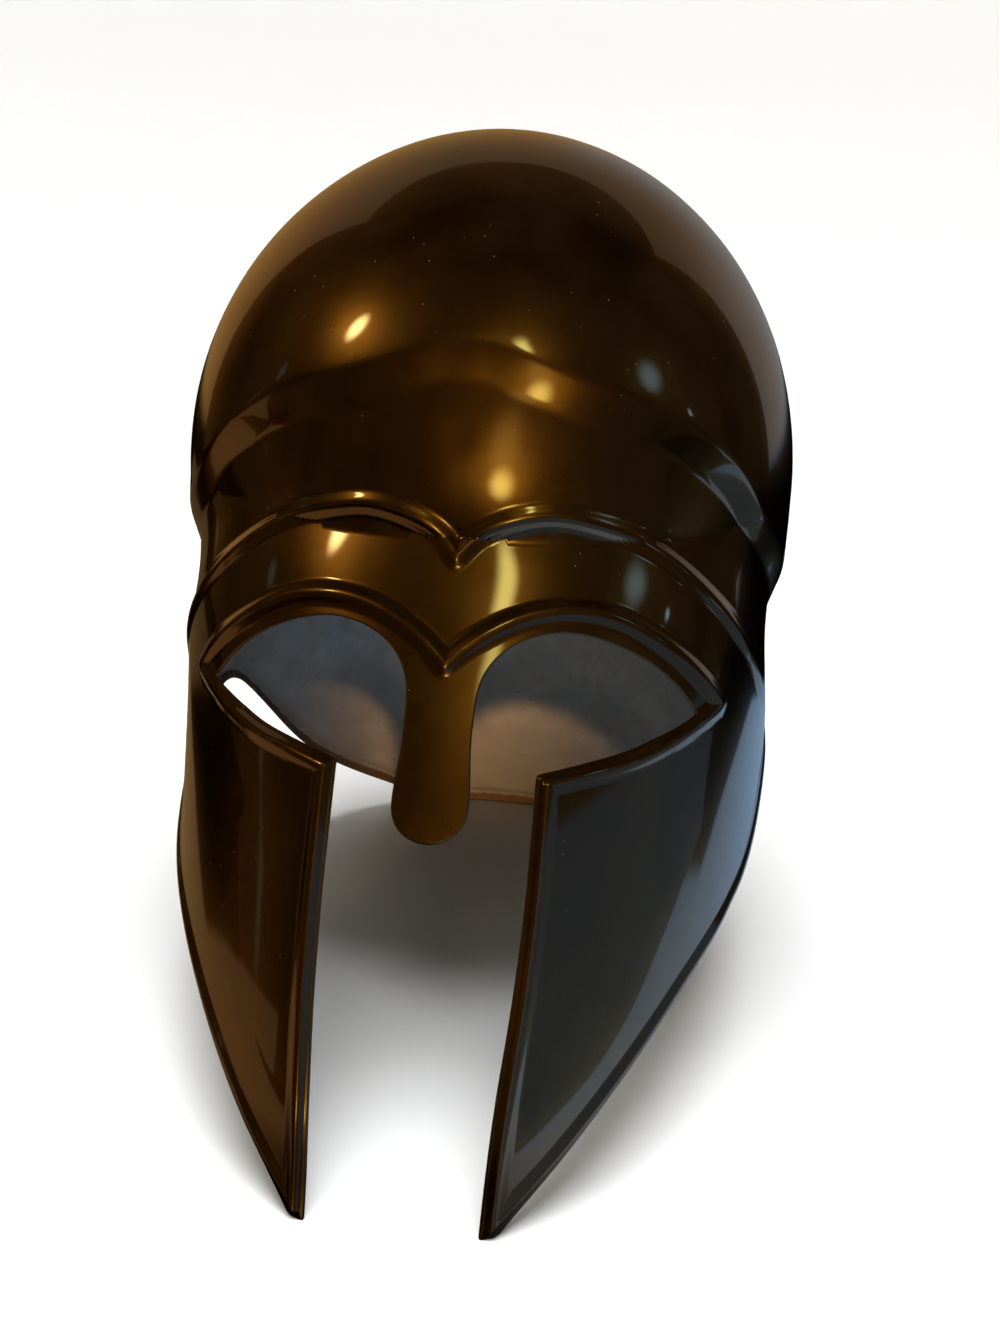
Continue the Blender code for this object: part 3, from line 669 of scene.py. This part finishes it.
# %% Shallow hollows and swellings all over, the same ones in each run
FACETS = 420
FACET_DEPTH = 0.00006
DENTS = 12
DENT_DEPTH = 0.00018
chance = np.random.default_rng(7)
spots = middle[chance.integers(len(middle), size=FACETS)]
widths = chance.uniform(0.007, 0.016, FACETS)
depths = chance.normal(0.0, FACET_DEPTH, FACETS)
depths[:DENTS] = -DENT_DEPTH
widths[:DENTS] = chance.uniform(0.003, 0.006, DENTS)
rise = np.zeros(len(middle))
lean = np.zeros_like(middle)
for spot, width, depth in zip(spots, widths, depths):
    away = middle - spot
    bump = depth * np.exp(-(away**2).sum(1) / (2 * width**2))
    rise += bump
    lean -= away * (bump / width**2)[:, None]
middle = middle + normal * rise[:, None]
normal = unit(normal - lean + normal * (lean * normal).sum(1)[:, None])
print("hammer marks from", round(rise.min() * 1000, 2), "to", round(rise.max() * 1000, 2), "mm")
print("share of them below a tenth of a millimetre:", round(float((np.abs(rise) < 0.0001).mean()), 2))


# %% [markdown]
# ## Rounding the edge
# The places on the very edge need to know which way the metal lies from them. Each of their triangles tells.

# %% The direction away from the edge, for places on it
pairs = np.r_[tris[:, (0, 1, 2)], tris[:, (1, 2, 0)], tris[:, (2, 0, 1)]]
known = set(map(tuple, pairs[:, :2].tolist()))
rim = np.array([p for p in pairs.tolist() if (p[1], p[0]) not in known])
inward = np.zeros_like(middle)
for a, b, c in rim:
    way = unit(middle[b] - middle[a])
    step = middle[c] - middle[a]
    step = unit(step - way * (step @ way))
    inward[a] += step
    inward[b] += step
on_rim = np.zeros(len(middle), bool)
on_rim[rim[:, :2].ravel()] = True
from_edge[on_rim] = unit(inward[on_rim])
print("places on the edge:", int(on_rim.sum()))

# %% The half round between the two faces
near_edge = np.where(on_rim, 0.0, np.minimum(edge_far, EDGE_ROUND))
across = ((EDGE_ROUND - near_edge) / EDGE_ROUND)[:, None]
drop = EDGE_ROUND * (1 - np.sqrt(1 - across**2))
front_points = middle - normal * drop
back_points = middle - normal * (WALL - drop)
front_normal = unit(normal * np.sqrt(1 - across**2) - from_edge * across)
back_normal = unit(-normal * np.sqrt(1 - across**2) - from_edge * across)
print("radius of the edge in mm:", EDGE_ROUND * 1000)

# %% Stood on the floor, with its length centred
middle_y = (front_points[:, 1].min() + front_points[:, 1].max()) / 2
shift = (part_bounds[0][1] + part_bounds[1][1]) / 2 - middle_y
for face in (front_points, back_points):
    face[:, 1] += shift
    face[feet, 2] = 0.0
    np.clip(face, part_bounds[0], part_bounds[1], out=face)
print("moved along Y by", round(shift * 1000, 2), "mm")


# %% [markdown]
# ## The two pieces
# The lacquered outside and the bare inside are one sheet of metal, but each has its own finish, so each face
# is a piece of its own. They share every point of the edge.

# %% A face made into a piece
def stand(name, data):
    """A new object in the scene."""
    thing = bpy.data.objects.new(name, data)
    bpy.context.scene.collection.objects.link(thing)
    return thing


def make_face(name, points, tris, normals):
    mesh = bpy.data.meshes.new(name)
    mesh.from_pydata(points.tolist(), [], tris.tolist())
    mesh.shade_smooth()
    mesh.normals_split_custom_set_from_vertices(normals.tolist())
    for label, values in (("edge_distance", edge_far), ("crest", crest)):
        mesh.attributes.new(label, "FLOAT", "POINT").data.foreach_set("value", values.astype(np.float32))
    piece = stand(name, mesh)
    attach(piece, "root")
    return piece


outside = make_face("lacquered_outside", front_points, tris, front_normal)
inside = make_face("bare_inside", back_points, tris[:, ::-1], back_normal)
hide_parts("helmet_shell")
print("triangles in each piece:", len(tris))

# %% [markdown]
# ## Node groups that both finishes share
# Dust, pits and stains look alike on both faces of the sheet, so they are made once. Each group works in
# metres on the object itself, so its marks keep their size and stay where they are from any side. What a
# socket gives is wrapped up as a field first, so that masks can be added and multiplied with plain signs.


# %% Fields: what a socket gives at each place, made so that sums can be written with them
class Field:
    def __init__(self, socket):
        self.socket = socket
        self.tree = socket.id_data


def wire(node, inputs):
    """Numbers, colours or fields put on a node's inputs."""
    for key, value in inputs.items():
        if isinstance(value, Field):
            node.id_data.links.new(value.socket, node.inputs[key])
        elif node.inputs[key].type == "RGBA":
            node.inputs[key].default_value = (*value, 1.0)
        else:
            node.inputs[key].default_value = value


def add(tree, kind, inputs=(), gives=0, **settings):
    """A node, and the field or fields that it gives."""
    node = tree.nodes.new("ShaderNode" + kind)
    for key, value in settings.items():
        setattr(node, key, value)
    wire(node, dict(inputs))
    if isinstance(gives, tuple):
        return [Field(node.outputs[key]) for key in gives]
    return Field(node.outputs[gives])


def reckon(how, a, b=0.0):
    tree = a.tree if isinstance(a, Field) else b.tree
    return add(tree, "Math", {0: a, 1: b}, operation=how)


SIGNS = {"__add__": "ADD", "__sub__": "SUBTRACT", "__mul__": "MULTIPLY", "__truediv__": "DIVIDE",
         "__pow__": "POWER", "__gt__": "GREATER_THAN", "__lt__": "LESS_THAN", "__abs__": "ABSOLUTE"}
for sign, how in SIGNS.items():
    setattr(Field, sign, lambda a, b=0.0, how=how: reckon(how, a, b))
Field.__rsub__ = lambda a, b: reckon("SUBTRACT", b, a)
Field.__rtruediv__ = lambda a, b: reckon("DIVIDE", b, a)
print("signs that fields understand:", len(SIGNS))


# %% Where on the object, cloudy noise, masks and mixed colours
def on_object(tree):
    return add(tree, "TexCoord", gives="Object")


def attribute(tree, name):
    """A number that the mesh holds at each of its points."""
    return add(tree, "Attribute", gives="Fac", attribute_name=name)


def noise(place, size, detail=2.0, rough=0.5):
    """Cloudy noise whose blotches are about so many metres across."""
    inputs = {"Vector": place, "Scale": 1 / size, "Detail": detail, "Roughness": rough}
    return add(place.tree, "TexNoise", inputs, "Fac")


def between(value, low, high):
    """0 below low, 1 above high, smooth between them."""
    inputs = {"Value": value, "From Min": low, "From Max": high}
    return add(value.tree, "MapRange", inputs, interpolation_type="SMOOTHSTEP")


def blend(mask, a, b):
    """A colour between two colours, by a mask."""
    return add(mask.tree, "Mix", {"Factor": mask, 6: a, 7: b}, 2, data_type="RGBA")


def scaled(vector, by):
    return add(by.tree, "VectorMath", {0: vector, "Scale": by}, operation="SCALE")


def new_group(name, inputs, outputs):
    """A node group. An input is a vector if its first value is one. Each output is a number."""
    tree = bpy.data.node_groups.new(name, "ShaderNodeTree")
    for label, value in inputs.items():
        kind = "NodeSocketVector" if isinstance(value, tuple) else "NodeSocketFloat"
        tree.interface.new_socket(label, in_out="INPUT", socket_type=kind).default_value = value
    for label in outputs:
        tree.interface.new_socket(label, in_out="OUTPUT", socket_type="NodeSocketFloat")
    given = tree.nodes.new("NodeGroupInput").outputs
    return tree, [Field(given[label]) for label in inputs], tree.nodes.new("NodeGroupOutput")


# %% Specks: dust that sits on the lacquer, and pits under it
tree, (size, spread), out = new_group("specks", {"Size": 0.0012, "Spread": 0.03}, ("Mask", "Pits"))
place = on_object(tree)
far, colour = add(tree, "TexVoronoi", {"Vector": place, "Scale": 1.0 / size}, ("Distance", "Color"))
chance_of_each = add(tree, "SeparateColor", {"Color": colour})
pits = (1.0 - between(far, 0.08, 0.22)) * (spread > chance_of_each)
wire(out, {"Mask": pits * between(noise(place, 0.045), 0.42, 0.62), "Pits": pits})

# %% Stains: broad clouds, smaller blotches, and thin tide marks round the clouds
tree, (size,), out = new_group("stains", {"Size": 0.05}, ("Cloud", "Blotch", "Tide"))
place = scaled(on_object(tree), 1.0 / size)
cloud = noise(place, 1.0, 4.0, 0.55)
blotch = noise(place, 0.28, 5.0, 0.62)
wire(out, {"Cloud": between(cloud, 0.38, 0.66), "Blotch": between(blotch, 0.50, 0.68),
           "Tide": 1.0 - between(abs(cloud - 0.53), 0.0, 0.02)})

# %% Rubbing: where hands and cloths wear the edge and the crests of the raised work
tree, (reach,), out = new_group("rubbing", {"Reach": 0.001}, ("Edge", "Crest"))
uneven = noise(on_object(tree), 0.007, 6.0, 0.65)
close = 1.0 - attribute(tree, "edge_distance") / (reach * (uneven * 2.0))
high = between(attribute(tree, "crest"), 0.80, 1.0) * between(uneven, 0.48, 0.66)
wire(out, {"Edge": between(close, 0.0, 0.6), "Crest": high})
print("shared node groups:", len(bpy.data.node_groups))

# %% [markdown]
# ## The outside: browned steel under clear lacquer
# The steel is heated and oiled until it turns a very dark brown, and is then lacquered. So there are two
# layers: warm brown metal that spreads the light of a lamp into a golden glow, and a clear coat on it that
# mirrors the room sharply. Dust lies on the coat, and the coat is thin and rubbed on the edge and the crests.

# %% The lacquered finish
BROWN = (0.25, 0.12, 0.03)
LIGHTER_BROWN = (0.31, 0.155, 0.04)
DARK_BLOTCH = (0.20, 0.095, 0.025)
RUBBED_CREST = (0.36, 0.20, 0.07)
RUBBED_EDGE = (0.30, 0.18, 0.09)
DUST = (0.17, 0.13, 0.09)


def new_finish(name):
    """A material, its node tree and its main shader."""
    material = bpy.data.materials.new(name)
    material.use_nodes = True
    return material, material.node_tree, material.node_tree.nodes["Principled BSDF"]


def use_group(tree, name, **values):
    node = tree.nodes.new("ShaderNodeGroup")
    node.node_tree = bpy.data.node_groups[name]
    wire(node, values)
    return {socket.name: Field(socket) for socket in node.outputs}


def layered(colour, layers):
    """Colours laid over one another, each by its mask."""
    for mask, over in layers:
        colour = blend(mask, colour, over)
    return colour


lacquered, tree, shader = new_finish("browned_steel_lacquered")
wire(shader, {"IOR": 1.5, "Coat Roughness": 0.05, "Coat IOR": 2.0})
stain = use_group(tree, "stains", Size=0.06)
speck = use_group(tree, "specks", Size=0.0013, Spread=0.022)
rub = use_group(tree, "rubbing", Reach=0.0009)
brown = layered(blend(stain["Cloud"], BROWN, LIGHTER_BROWN), (
    (stain["Blotch"] * 0.5, DARK_BLOTCH), (rub["Crest"], RUBBED_CREST),
    (rub["Edge"], RUBBED_EDGE), (speck["Mask"], DUST)))

# %% Its gloss and its fine bumps
place = on_object(tree)
streak = noise(place, 0.012, 4.0, 0.6)
gloss = add(tree, "MapRange", {"Value": streak, "To Min": 0.24, "To Max": 0.34})
grain = noise(place, 0.0014, 3.0) * 0.25 + speck["Pits"]
bump = add(tree, "Bump", {"Strength": 0.25, "Distance": 0.00008, "Height": grain})
wire(shader, {"Base Color": brown, "Roughness": gloss + speck["Mask"] * 0.3,
              "Metallic": 1.0 - speck["Mask"] * 0.9,
              "Coat Weight": 1.0 - (rub["Edge"] * 0.6 + rub["Crest"] * 0.3), "Normal": bump})
outside.data.materials.append(lacquered)
print("outside:", lacquered.name)

# %% [markdown]
# ## The inside: bare steel
# Nobody polishes the inside. The steel there is dull grey, with the mottle of the hammer, brown tide marks
# where damp has dried, and specks of rust. It darkens towards the rim.

# %% The bare finish
STEEL = (0.24, 0.26, 0.275)
LIGHTER_STEEL = (0.32, 0.34, 0.355)
WARM_BLOTCH = (0.24, 0.22, 0.19)
TIDE_MARK = (0.20, 0.15, 0.10)
RUST = (0.13, 0.07, 0.035)
DARK_RIM = (0.12, 0.08, 0.05)
bare, tree, shader = new_finish("bare_steel_stained")
place = on_object(tree)
stain = use_group(tree, "stains", Size=0.035)
speck = use_group(tree, "specks", Size=0.003, Spread=0.08)
rub = use_group(tree, "rubbing", Reach=0.004)
steel = layered(blend(stain["Cloud"], STEEL, LIGHTER_STEEL), (
    (stain["Blotch"] * 0.35, WARM_BLOTCH), (stain["Tide"] * 0.15, TIDE_MARK),
    (speck["Mask"], RUST), (rub["Edge"], DARK_RIM)))
rough = add(tree, "MapRange", {"Value": stain["Blotch"], "To Min": 0.40, "To Max": 0.62})
beaten = noise(place, 0.016, 2.0) + noise(place, 0.0016, 4.0) * 0.08 - speck["Pits"] * 0.05
bump = add(tree, "Bump", {"Strength": 0.6, "Distance": 0.0012, "Height": beaten})
wire(shader, {"Base Color": steel, "Metallic": 0.45 - speck["Mask"] * 0.4, "Roughness": rough,
              "Normal": bump})
inside.data.materials.append(bare)
print("inside:", bare.name)

# %% [markdown]
# ## The studio
# A glossy helmet shows what is round it more than its own colour. It stands on a pale floor that rises into a
# low backdrop, and the room in front of it is dim. So the skull mirrors a pale band along its rim, and the
# rest stays dark but for the lamps.

# %% A round floor that sweeps up into a curved backdrop, from one side of the back to the other
BACKDROP_RADIUS = 1.5
BACKDROP_HALF_ANGLE = 60
BACKDROP_TOP = 2.2
SWEEP = 0.4
flat_to = BACKDROP_RADIUS - SWEEP
turn = np.linspace(0.0, np.pi / 2, 13)
profile = [(0.00001, 0.0)] + [(flat_to + SWEEP * math.sin(t), SWEEP - SWEEP * math.cos(t)) for t in turn]
profile += [(BACKDROP_RADIUS, BACKDROP_TOP)]
swing = np.radians(np.linspace(-BACKDROP_HALF_ANGLE, BACKDROP_HALF_ANGLE, 49))
corners = [(r * math.sin(a), r * math.cos(a), z) for r, z in profile for a in swing]
wide = len(swing)
faces = [(i * wide + j, i * wide + j + 1, (i + 1) * wide + j + 1, (i + 1) * wide + j)
         for i in range(len(profile) - 1) for j in range(wide - 1)]
around = np.radians(np.linspace(BACKDROP_HALF_ANGLE, 360 - BACKDROP_HALF_ANGLE, 97))
first = len(corners)
corners += [(0.0, 0.0, 0.0)]
corners += [(BACKDROP_RADIUS * math.sin(a), BACKDROP_RADIUS * math.cos(a), 0.0) for a in around]
faces += [(first, first + 1 + j, first + 2 + j) for j in range(len(around) - 1)]
mesh = bpy.data.meshes.new("studio_floor")
mesh.from_pydata(corners, [], faces)
mesh.shade_smooth()
floor = stand("studio_floor", mesh)
print("corners of the floor and backdrop:", len(corners))

# %% [markdown]
# The eye sees pale paper everywhere. The lacquer sees it only near by, as on a table, and behind, as a wall,
# with a dim room between. The light of the room falls on it warm from the left and cool from the right. So
# for mirrored rays the paper glows faintly in those colours in the two areas, and is dark outside them.

# %% Pale paper that the lacquer sees only in part
PALE = (0.80, 0.80, 0.80)
TABLE_HALF = 0.31
TABLE_MIDDLE = 0.03
TABLE_FRONT = -0.26
TABLE_BACK = 0.45       # at the middle; the back edge runs aslant, further back on the left
TABLE_BACK_SLANT = 0.5
TABLE_GAP = 0.085       # half the strip between the cheeks, where the paper lies in shadow
GAP_MIDDLE = -0.02
TONGUE_BACK = 0.02      # behind this line the table is only as wide as TABLE_HALF
TONGUE_EXTRA = 0.075    # how much further back that line lies on the right
TONGUE_SLANT = 0.11
LEFT_FROM_Y = 0.25      # the table is wider at its back left corner
LEFT_TO_X = 0.80
LEFT_SHARE = 0.5        # and dimmer there
WALL_FROM_Z = 0.12
WARM_WALL = (0.33, 0.18, 0.055)
COOL_WALL = (0.23, 0.22, 0.215)
HIGH_WALL = (0.16, 0.115, 0.065)
WARM_TABLE = (0.20, 0.118, 0.044)
COOL_TABLE = (0.21, 0.34, 0.52)


def soft_step(value, at, over):
    """0 below a value and 1 above it, with a soft change over so many metres."""
    return between(value, at - over / 2, at + over / 2)


paper, tree, shader = new_finish("pale_paper")
wire(shader, {"Base Color": PALE, "Roughness": 0.9})
x, y, z = add(tree, "SeparateXYZ", {0: on_object(tree)}, (0, 1, 2))
out_x = abs(x - TABLE_MIDDLE)
not_wide = 1.0 - soft_step(out_x, TABLE_HALF, 0.02)
tongue = 1.0 - soft_step(y + out_x * TONGUE_SLANT - (x > 0.0) * TONGUE_EXTRA, TONGUE_BACK, 0.03)
far_left = soft_step(y, LEFT_FROM_Y, 0.06) * between(x, -LEFT_TO_X, -LEFT_TO_X + 0.08)
far_left = far_left * ((x < 0.0) * LEFT_SHARE)
on_table = reckon("MAXIMUM", reckon("MAXIMUM", not_wide, tongue), far_left)
on_table = on_table * soft_step(y, TABLE_FRONT, 0.03)
on_table = on_table * (1.0 - soft_step(y + x * TABLE_BACK_SLANT, TABLE_BACK, 0.04))
on_table = on_table * soft_step(abs(x - GAP_MIDDLE), TABLE_GAP, 0.10)
print("width of the table in metres:", 2 * TABLE_HALF)

# %% The colours that it shows the lacquer
on_wall = soft_step(z, WALL_FROM_Z, 0.10)
to_right = between(x, -0.15, 0.25)
table_light = blend(to_right, WARM_TABLE, COOL_TABLE)
wall_light = blend(to_right, WARM_WALL, COOL_WALL)
wall_light = blend(between(z, 0.5, 1.9), wall_light, HIGH_WALL)
strength = reckon("MAXIMUM", on_table, on_wall)
glow = add(tree, "Emission", {"Color": blend(on_wall, table_light, wall_light), "Strength": strength})
mirrored = add(tree, "LightPath", gives="Is Glossy Ray")
mixed = add(tree, "MixShader", {0: mirrored, 1: Field(shader.outputs[0]), 2: glow})
wire(tree.nodes["Material Output"], {"Surface": mixed})
mesh.materials.append(paper)
print("floor and backdrop:", paper.name)

# %% [markdown]
# Two things stand beside the helmet that only the lacquer sees. A low strip of paper on each side carries the
# table's light up a little, and a dim cool card on the right keeps that cheek grey while the brow stays warm.

# %% A strip or card that stands on the floor along an arc, seen only in mirrored rays
CARD_POINTS = 17


def make_card(name, radius, first, last, feet, tops, colour, fade_over):
    """Each end has its own foot and top, and is an azimuth from the face in degrees. The top fades out."""
    at = np.radians(np.linspace(first, last, CARD_POINTS))
    foot, top = (np.linspace(*ends, CARD_POINTS) for ends in (feet, tops))
    corners = [(radius * math.sin(a), -radius * math.cos(a), z)
               for level in (foot, top) for a, z in zip(at, level)]
    card_mesh = bpy.data.meshes.new(name)
    faces = [(i, i + 1, i + 1 + CARD_POINTS, i + CARD_POINTS) for i in range(CARD_POINTS - 1)]
    card_mesh.from_pydata(corners, [], faces)
    below_top = np.r_[top - foot, 0 * top].astype(np.float32)
    card_mesh.attributes.new("below_top", "FLOAT", "POINT").data.foreach_set("value", below_top)
    finish, tree, shader = new_finish(name)
    tree.nodes.remove(shader)
    shown = between(attribute(tree, "below_top"), 0.0, fade_over)
    light = add(tree, "Emission", {"Color": colour})
    mixed = add(tree, "MixShader", {0: shown, 1: add(tree, "BsdfTransparent"), 2: light})
    wire(tree.nodes["Material Output"], {"Surface": mixed})
    card_mesh.materials.append(finish)
    card = stand(name, card_mesh)
    card.visible_camera = card.visible_diffuse = card.visible_shadow = card.visible_transmission = False


make_card("cool_card", 0.24, 5, 92, (0.0, 0.05), (0.192, 0.13), (0.046, 0.078, 0.12), 0.01)
make_card("cool_strip", 1.05, 69, 86, (0.0, 0.0), (0.15, 0.0), COOL_TABLE, 0.012)
make_card("warm_strip", 1.05, -86, -65, (0.0, 0.0), (0.0, 0.20), WARM_TABLE, 0.012)

# %% [markdown]
# ## The room's lights
# The room gives a dim warm light from all round, with tall soft shades in it. Its lamps are soft patches of
# light in certain directions, each with a bright middle that fades out evenly. Their directions were worked
# out from where each of them is mirrored in the lacquer.

# %% One soft patch of light, round a direction given as azimuth from the face and height in degrees
INPUTS = {"Way": (0.0, 0.0, 1.0), "Middle": (0.0, -1.0, 0.0), "Across": (1.0, 0.0, 0.0),
          "Wide": 0.1, "Tall": 0.1}
tree, (way, centre, across, wide, tall), out = new_group("light_patch", INPUTS, ("Mask",))


def dot(a, b):
    return add(a.tree, "VectorMath", {0: a, 1: b}, "Value", operation="DOT_PRODUCT")


def direction(azimuth, height):
    a, e = math.radians(azimuth), math.radians(height)
    return Vector((math.sin(a) * math.cos(e), -math.cos(a) * math.cos(e), math.sin(e)))


upward = add(tree, "VectorMath", {0: centre, 1: across}, operation="CROSS_PRODUCT")
side = abs(dot(way, across) / wide)**2.0
over = abs(dot(way, upward) / tall)**2.0
shape = 1.0 - between(reckon("SQRT", side + over), 0.15, 1.0)
wire(out, {"Mask": shape * (dot(way, centre) > 0.0)})
print("shared node groups:", len(bpy.data.node_groups))

# %% The patches: name, azimuth, height, half width and half height in degrees, colour of the light
PATCHES = (
    ("left lamp", -58, 45, 3.2, 6.0, (16.0, 11.5, 4.0)),
    ("left glow", -56, 42, 12, 14, (0.20, 0.10, 0.015)),
    ("front lamp", 5, 13, 5.5, 7, (5.0, 3.6, 0.72)),
    ("front glow", 4, 18, 14, 16, (0.36, 0.18, 0.02)),
    ("front glow above", 5, 22, 6.5, 13, (0.55, 0.32, 0.06)),
    ("high lamp", 6, 49, 3.8, 7, (5.0, 4.2, 1.1)),
    ("high glow", 3, 46, 12, 12, (0.08, 0.04, 0.006)),
    ("cool lamp", 61, 36, 6, 7, (0.38, 0.60, 0.64)),
    ("small cool lamp", 74, 21, 1.4, 2.2, (1.0, 1.5, 1.7)),
    ("cool glimmer", -79, 22, 2.5, 5, (0.10, 0.15, 0.16)),
    ("low glimmer", -83, 7, 2.2, 7, (0.12, 0.12, 0.07)),
)
WARM_DARK = (0.036, 0.020, 0.0045)
COOL_DARK = (0.026, 0.017, 0.0075)
UPRIGHT = (3.2, 3.2, 0.9)   # draws the shades out to about three and a half times their width
room = bpy.data.worlds.new("dim_room")
room.use_nodes = True
tree = room.node_tree
ray = add(tree, "TexCoord", gives="Generated")
to_right = between(add(tree, "SeparateXYZ", {0: ray}, "X"), -0.6, 0.7)
tall_shapes = add(tree, "VectorMath", {0: ray, 1: UPRIGHT}, operation="MULTIPLY")
shades = add(tree, "MapRange", {"Value": noise(tall_shapes, 1.0, 3.0, 0.5), "From Min": 0.35,
                                "From Max": 0.68, "To Min": 0.30, "To Max": 1.55})
light = scaled(blend(to_right, WARM_DARK, COOL_DARK), shades)
for _, azimuth, height, wide, tall, colour in PATCHES:
    patch = use_group(tree, "light_patch", Way=ray, Middle=direction(azimuth, height),
                      Across=direction(azimuth + 90, 0), Wide=math.sin(math.radians(wide)),
                      Tall=math.sin(math.radians(tall)))
    light = add(tree, "VectorMath", {0: light, 1: scaled(colour, patch["Mask"])}, operation="ADD")
seen = add(tree, "LightPath", gives="Is Camera Ray")
wire(tree.nodes["Background"], {"Color": blend(seen, light, PALE)})
bpy.context.scene.world = room
print("patches of light:", ", ".join(patch[0] for patch in PATCHES))


# %% A broad light over the paper, and a narrow warm one that shines in through an eye on to the bare steel
def make_lamp(name, kind, aim, azimuth, height, distance, power, colour):
    """A lamp that lights the paper and the steel, but isn't mirrored."""
    lamp = bpy.data.lights.new(name, kind)
    lamp.energy = power
    lamp.color = colour
    holder = stand(name, lamp)
    way = direction(azimuth, height)
    holder.location = Vector(aim) + way * distance
    holder.rotation_euler = way.to_track_quat("Z", "Y").to_euler()
    holder.visible_glossy = False
    return lamp, holder


paper_light, _ = make_lamp("paper_light", "AREA", (0.0, -0.03, 0.16), 0, 85, 1.9, 72.0, (0.965, 0.985, 1.0))
paper_light.shape = "DISK"
paper_light.size = 1.6
EYE_AIM = (-0.016, 0.13, 0.052)
eye_light, holder = make_lamp("eye_light", "SPOT", EYE_AIM, 9, 27, 1.6, 150.0, (1.0, 0.50, 0.18))
eye_light.spot_size = math.radians(5.4)
eye_light.spot_blend = 0.9
eye_light.shadow_soft_size = 0.03
lit = bpy.data.collections.new("lit_through_the_eye")
lit.objects.link(inside)
holder.light_linking.receiver_collection = lit
print("lamps:", len(bpy.data.lights))

# %% [markdown]
# ## The camera
# It looks down on the face from about 20 degrees, a little to the wearer's left, and is held slightly askew.

# %% Place, direction and lens
CAMERA_AT = Vector((0.0590, -0.5315, 0.3146))
LOOKS_ALONG = Vector((-0.0868, 0.9366, -0.3397))
CAMERA_UP = Vector((-0.0783, 0.3335, 0.9395))
LENS = 41.54
back = -LOOKS_ALONG.normalized()
right = CAMERA_UP.cross(back).normalized()
up = back.cross(right)
camera = stand("camera", bpy.data.cameras.new("camera"))
camera.data.lens = LENS
camera.data.sensor_width = 36.0
camera.matrix_world = Matrix.Translation(CAMERA_AT) @ Matrix((right, up, back)).transposed().to_4x4()
bpy.context.scene.camera = camera
bpy.context.scene.view_settings.view_transform = "Standard"
print("camera in metres:", [round(v, 3) for v in CAMERA_AT])
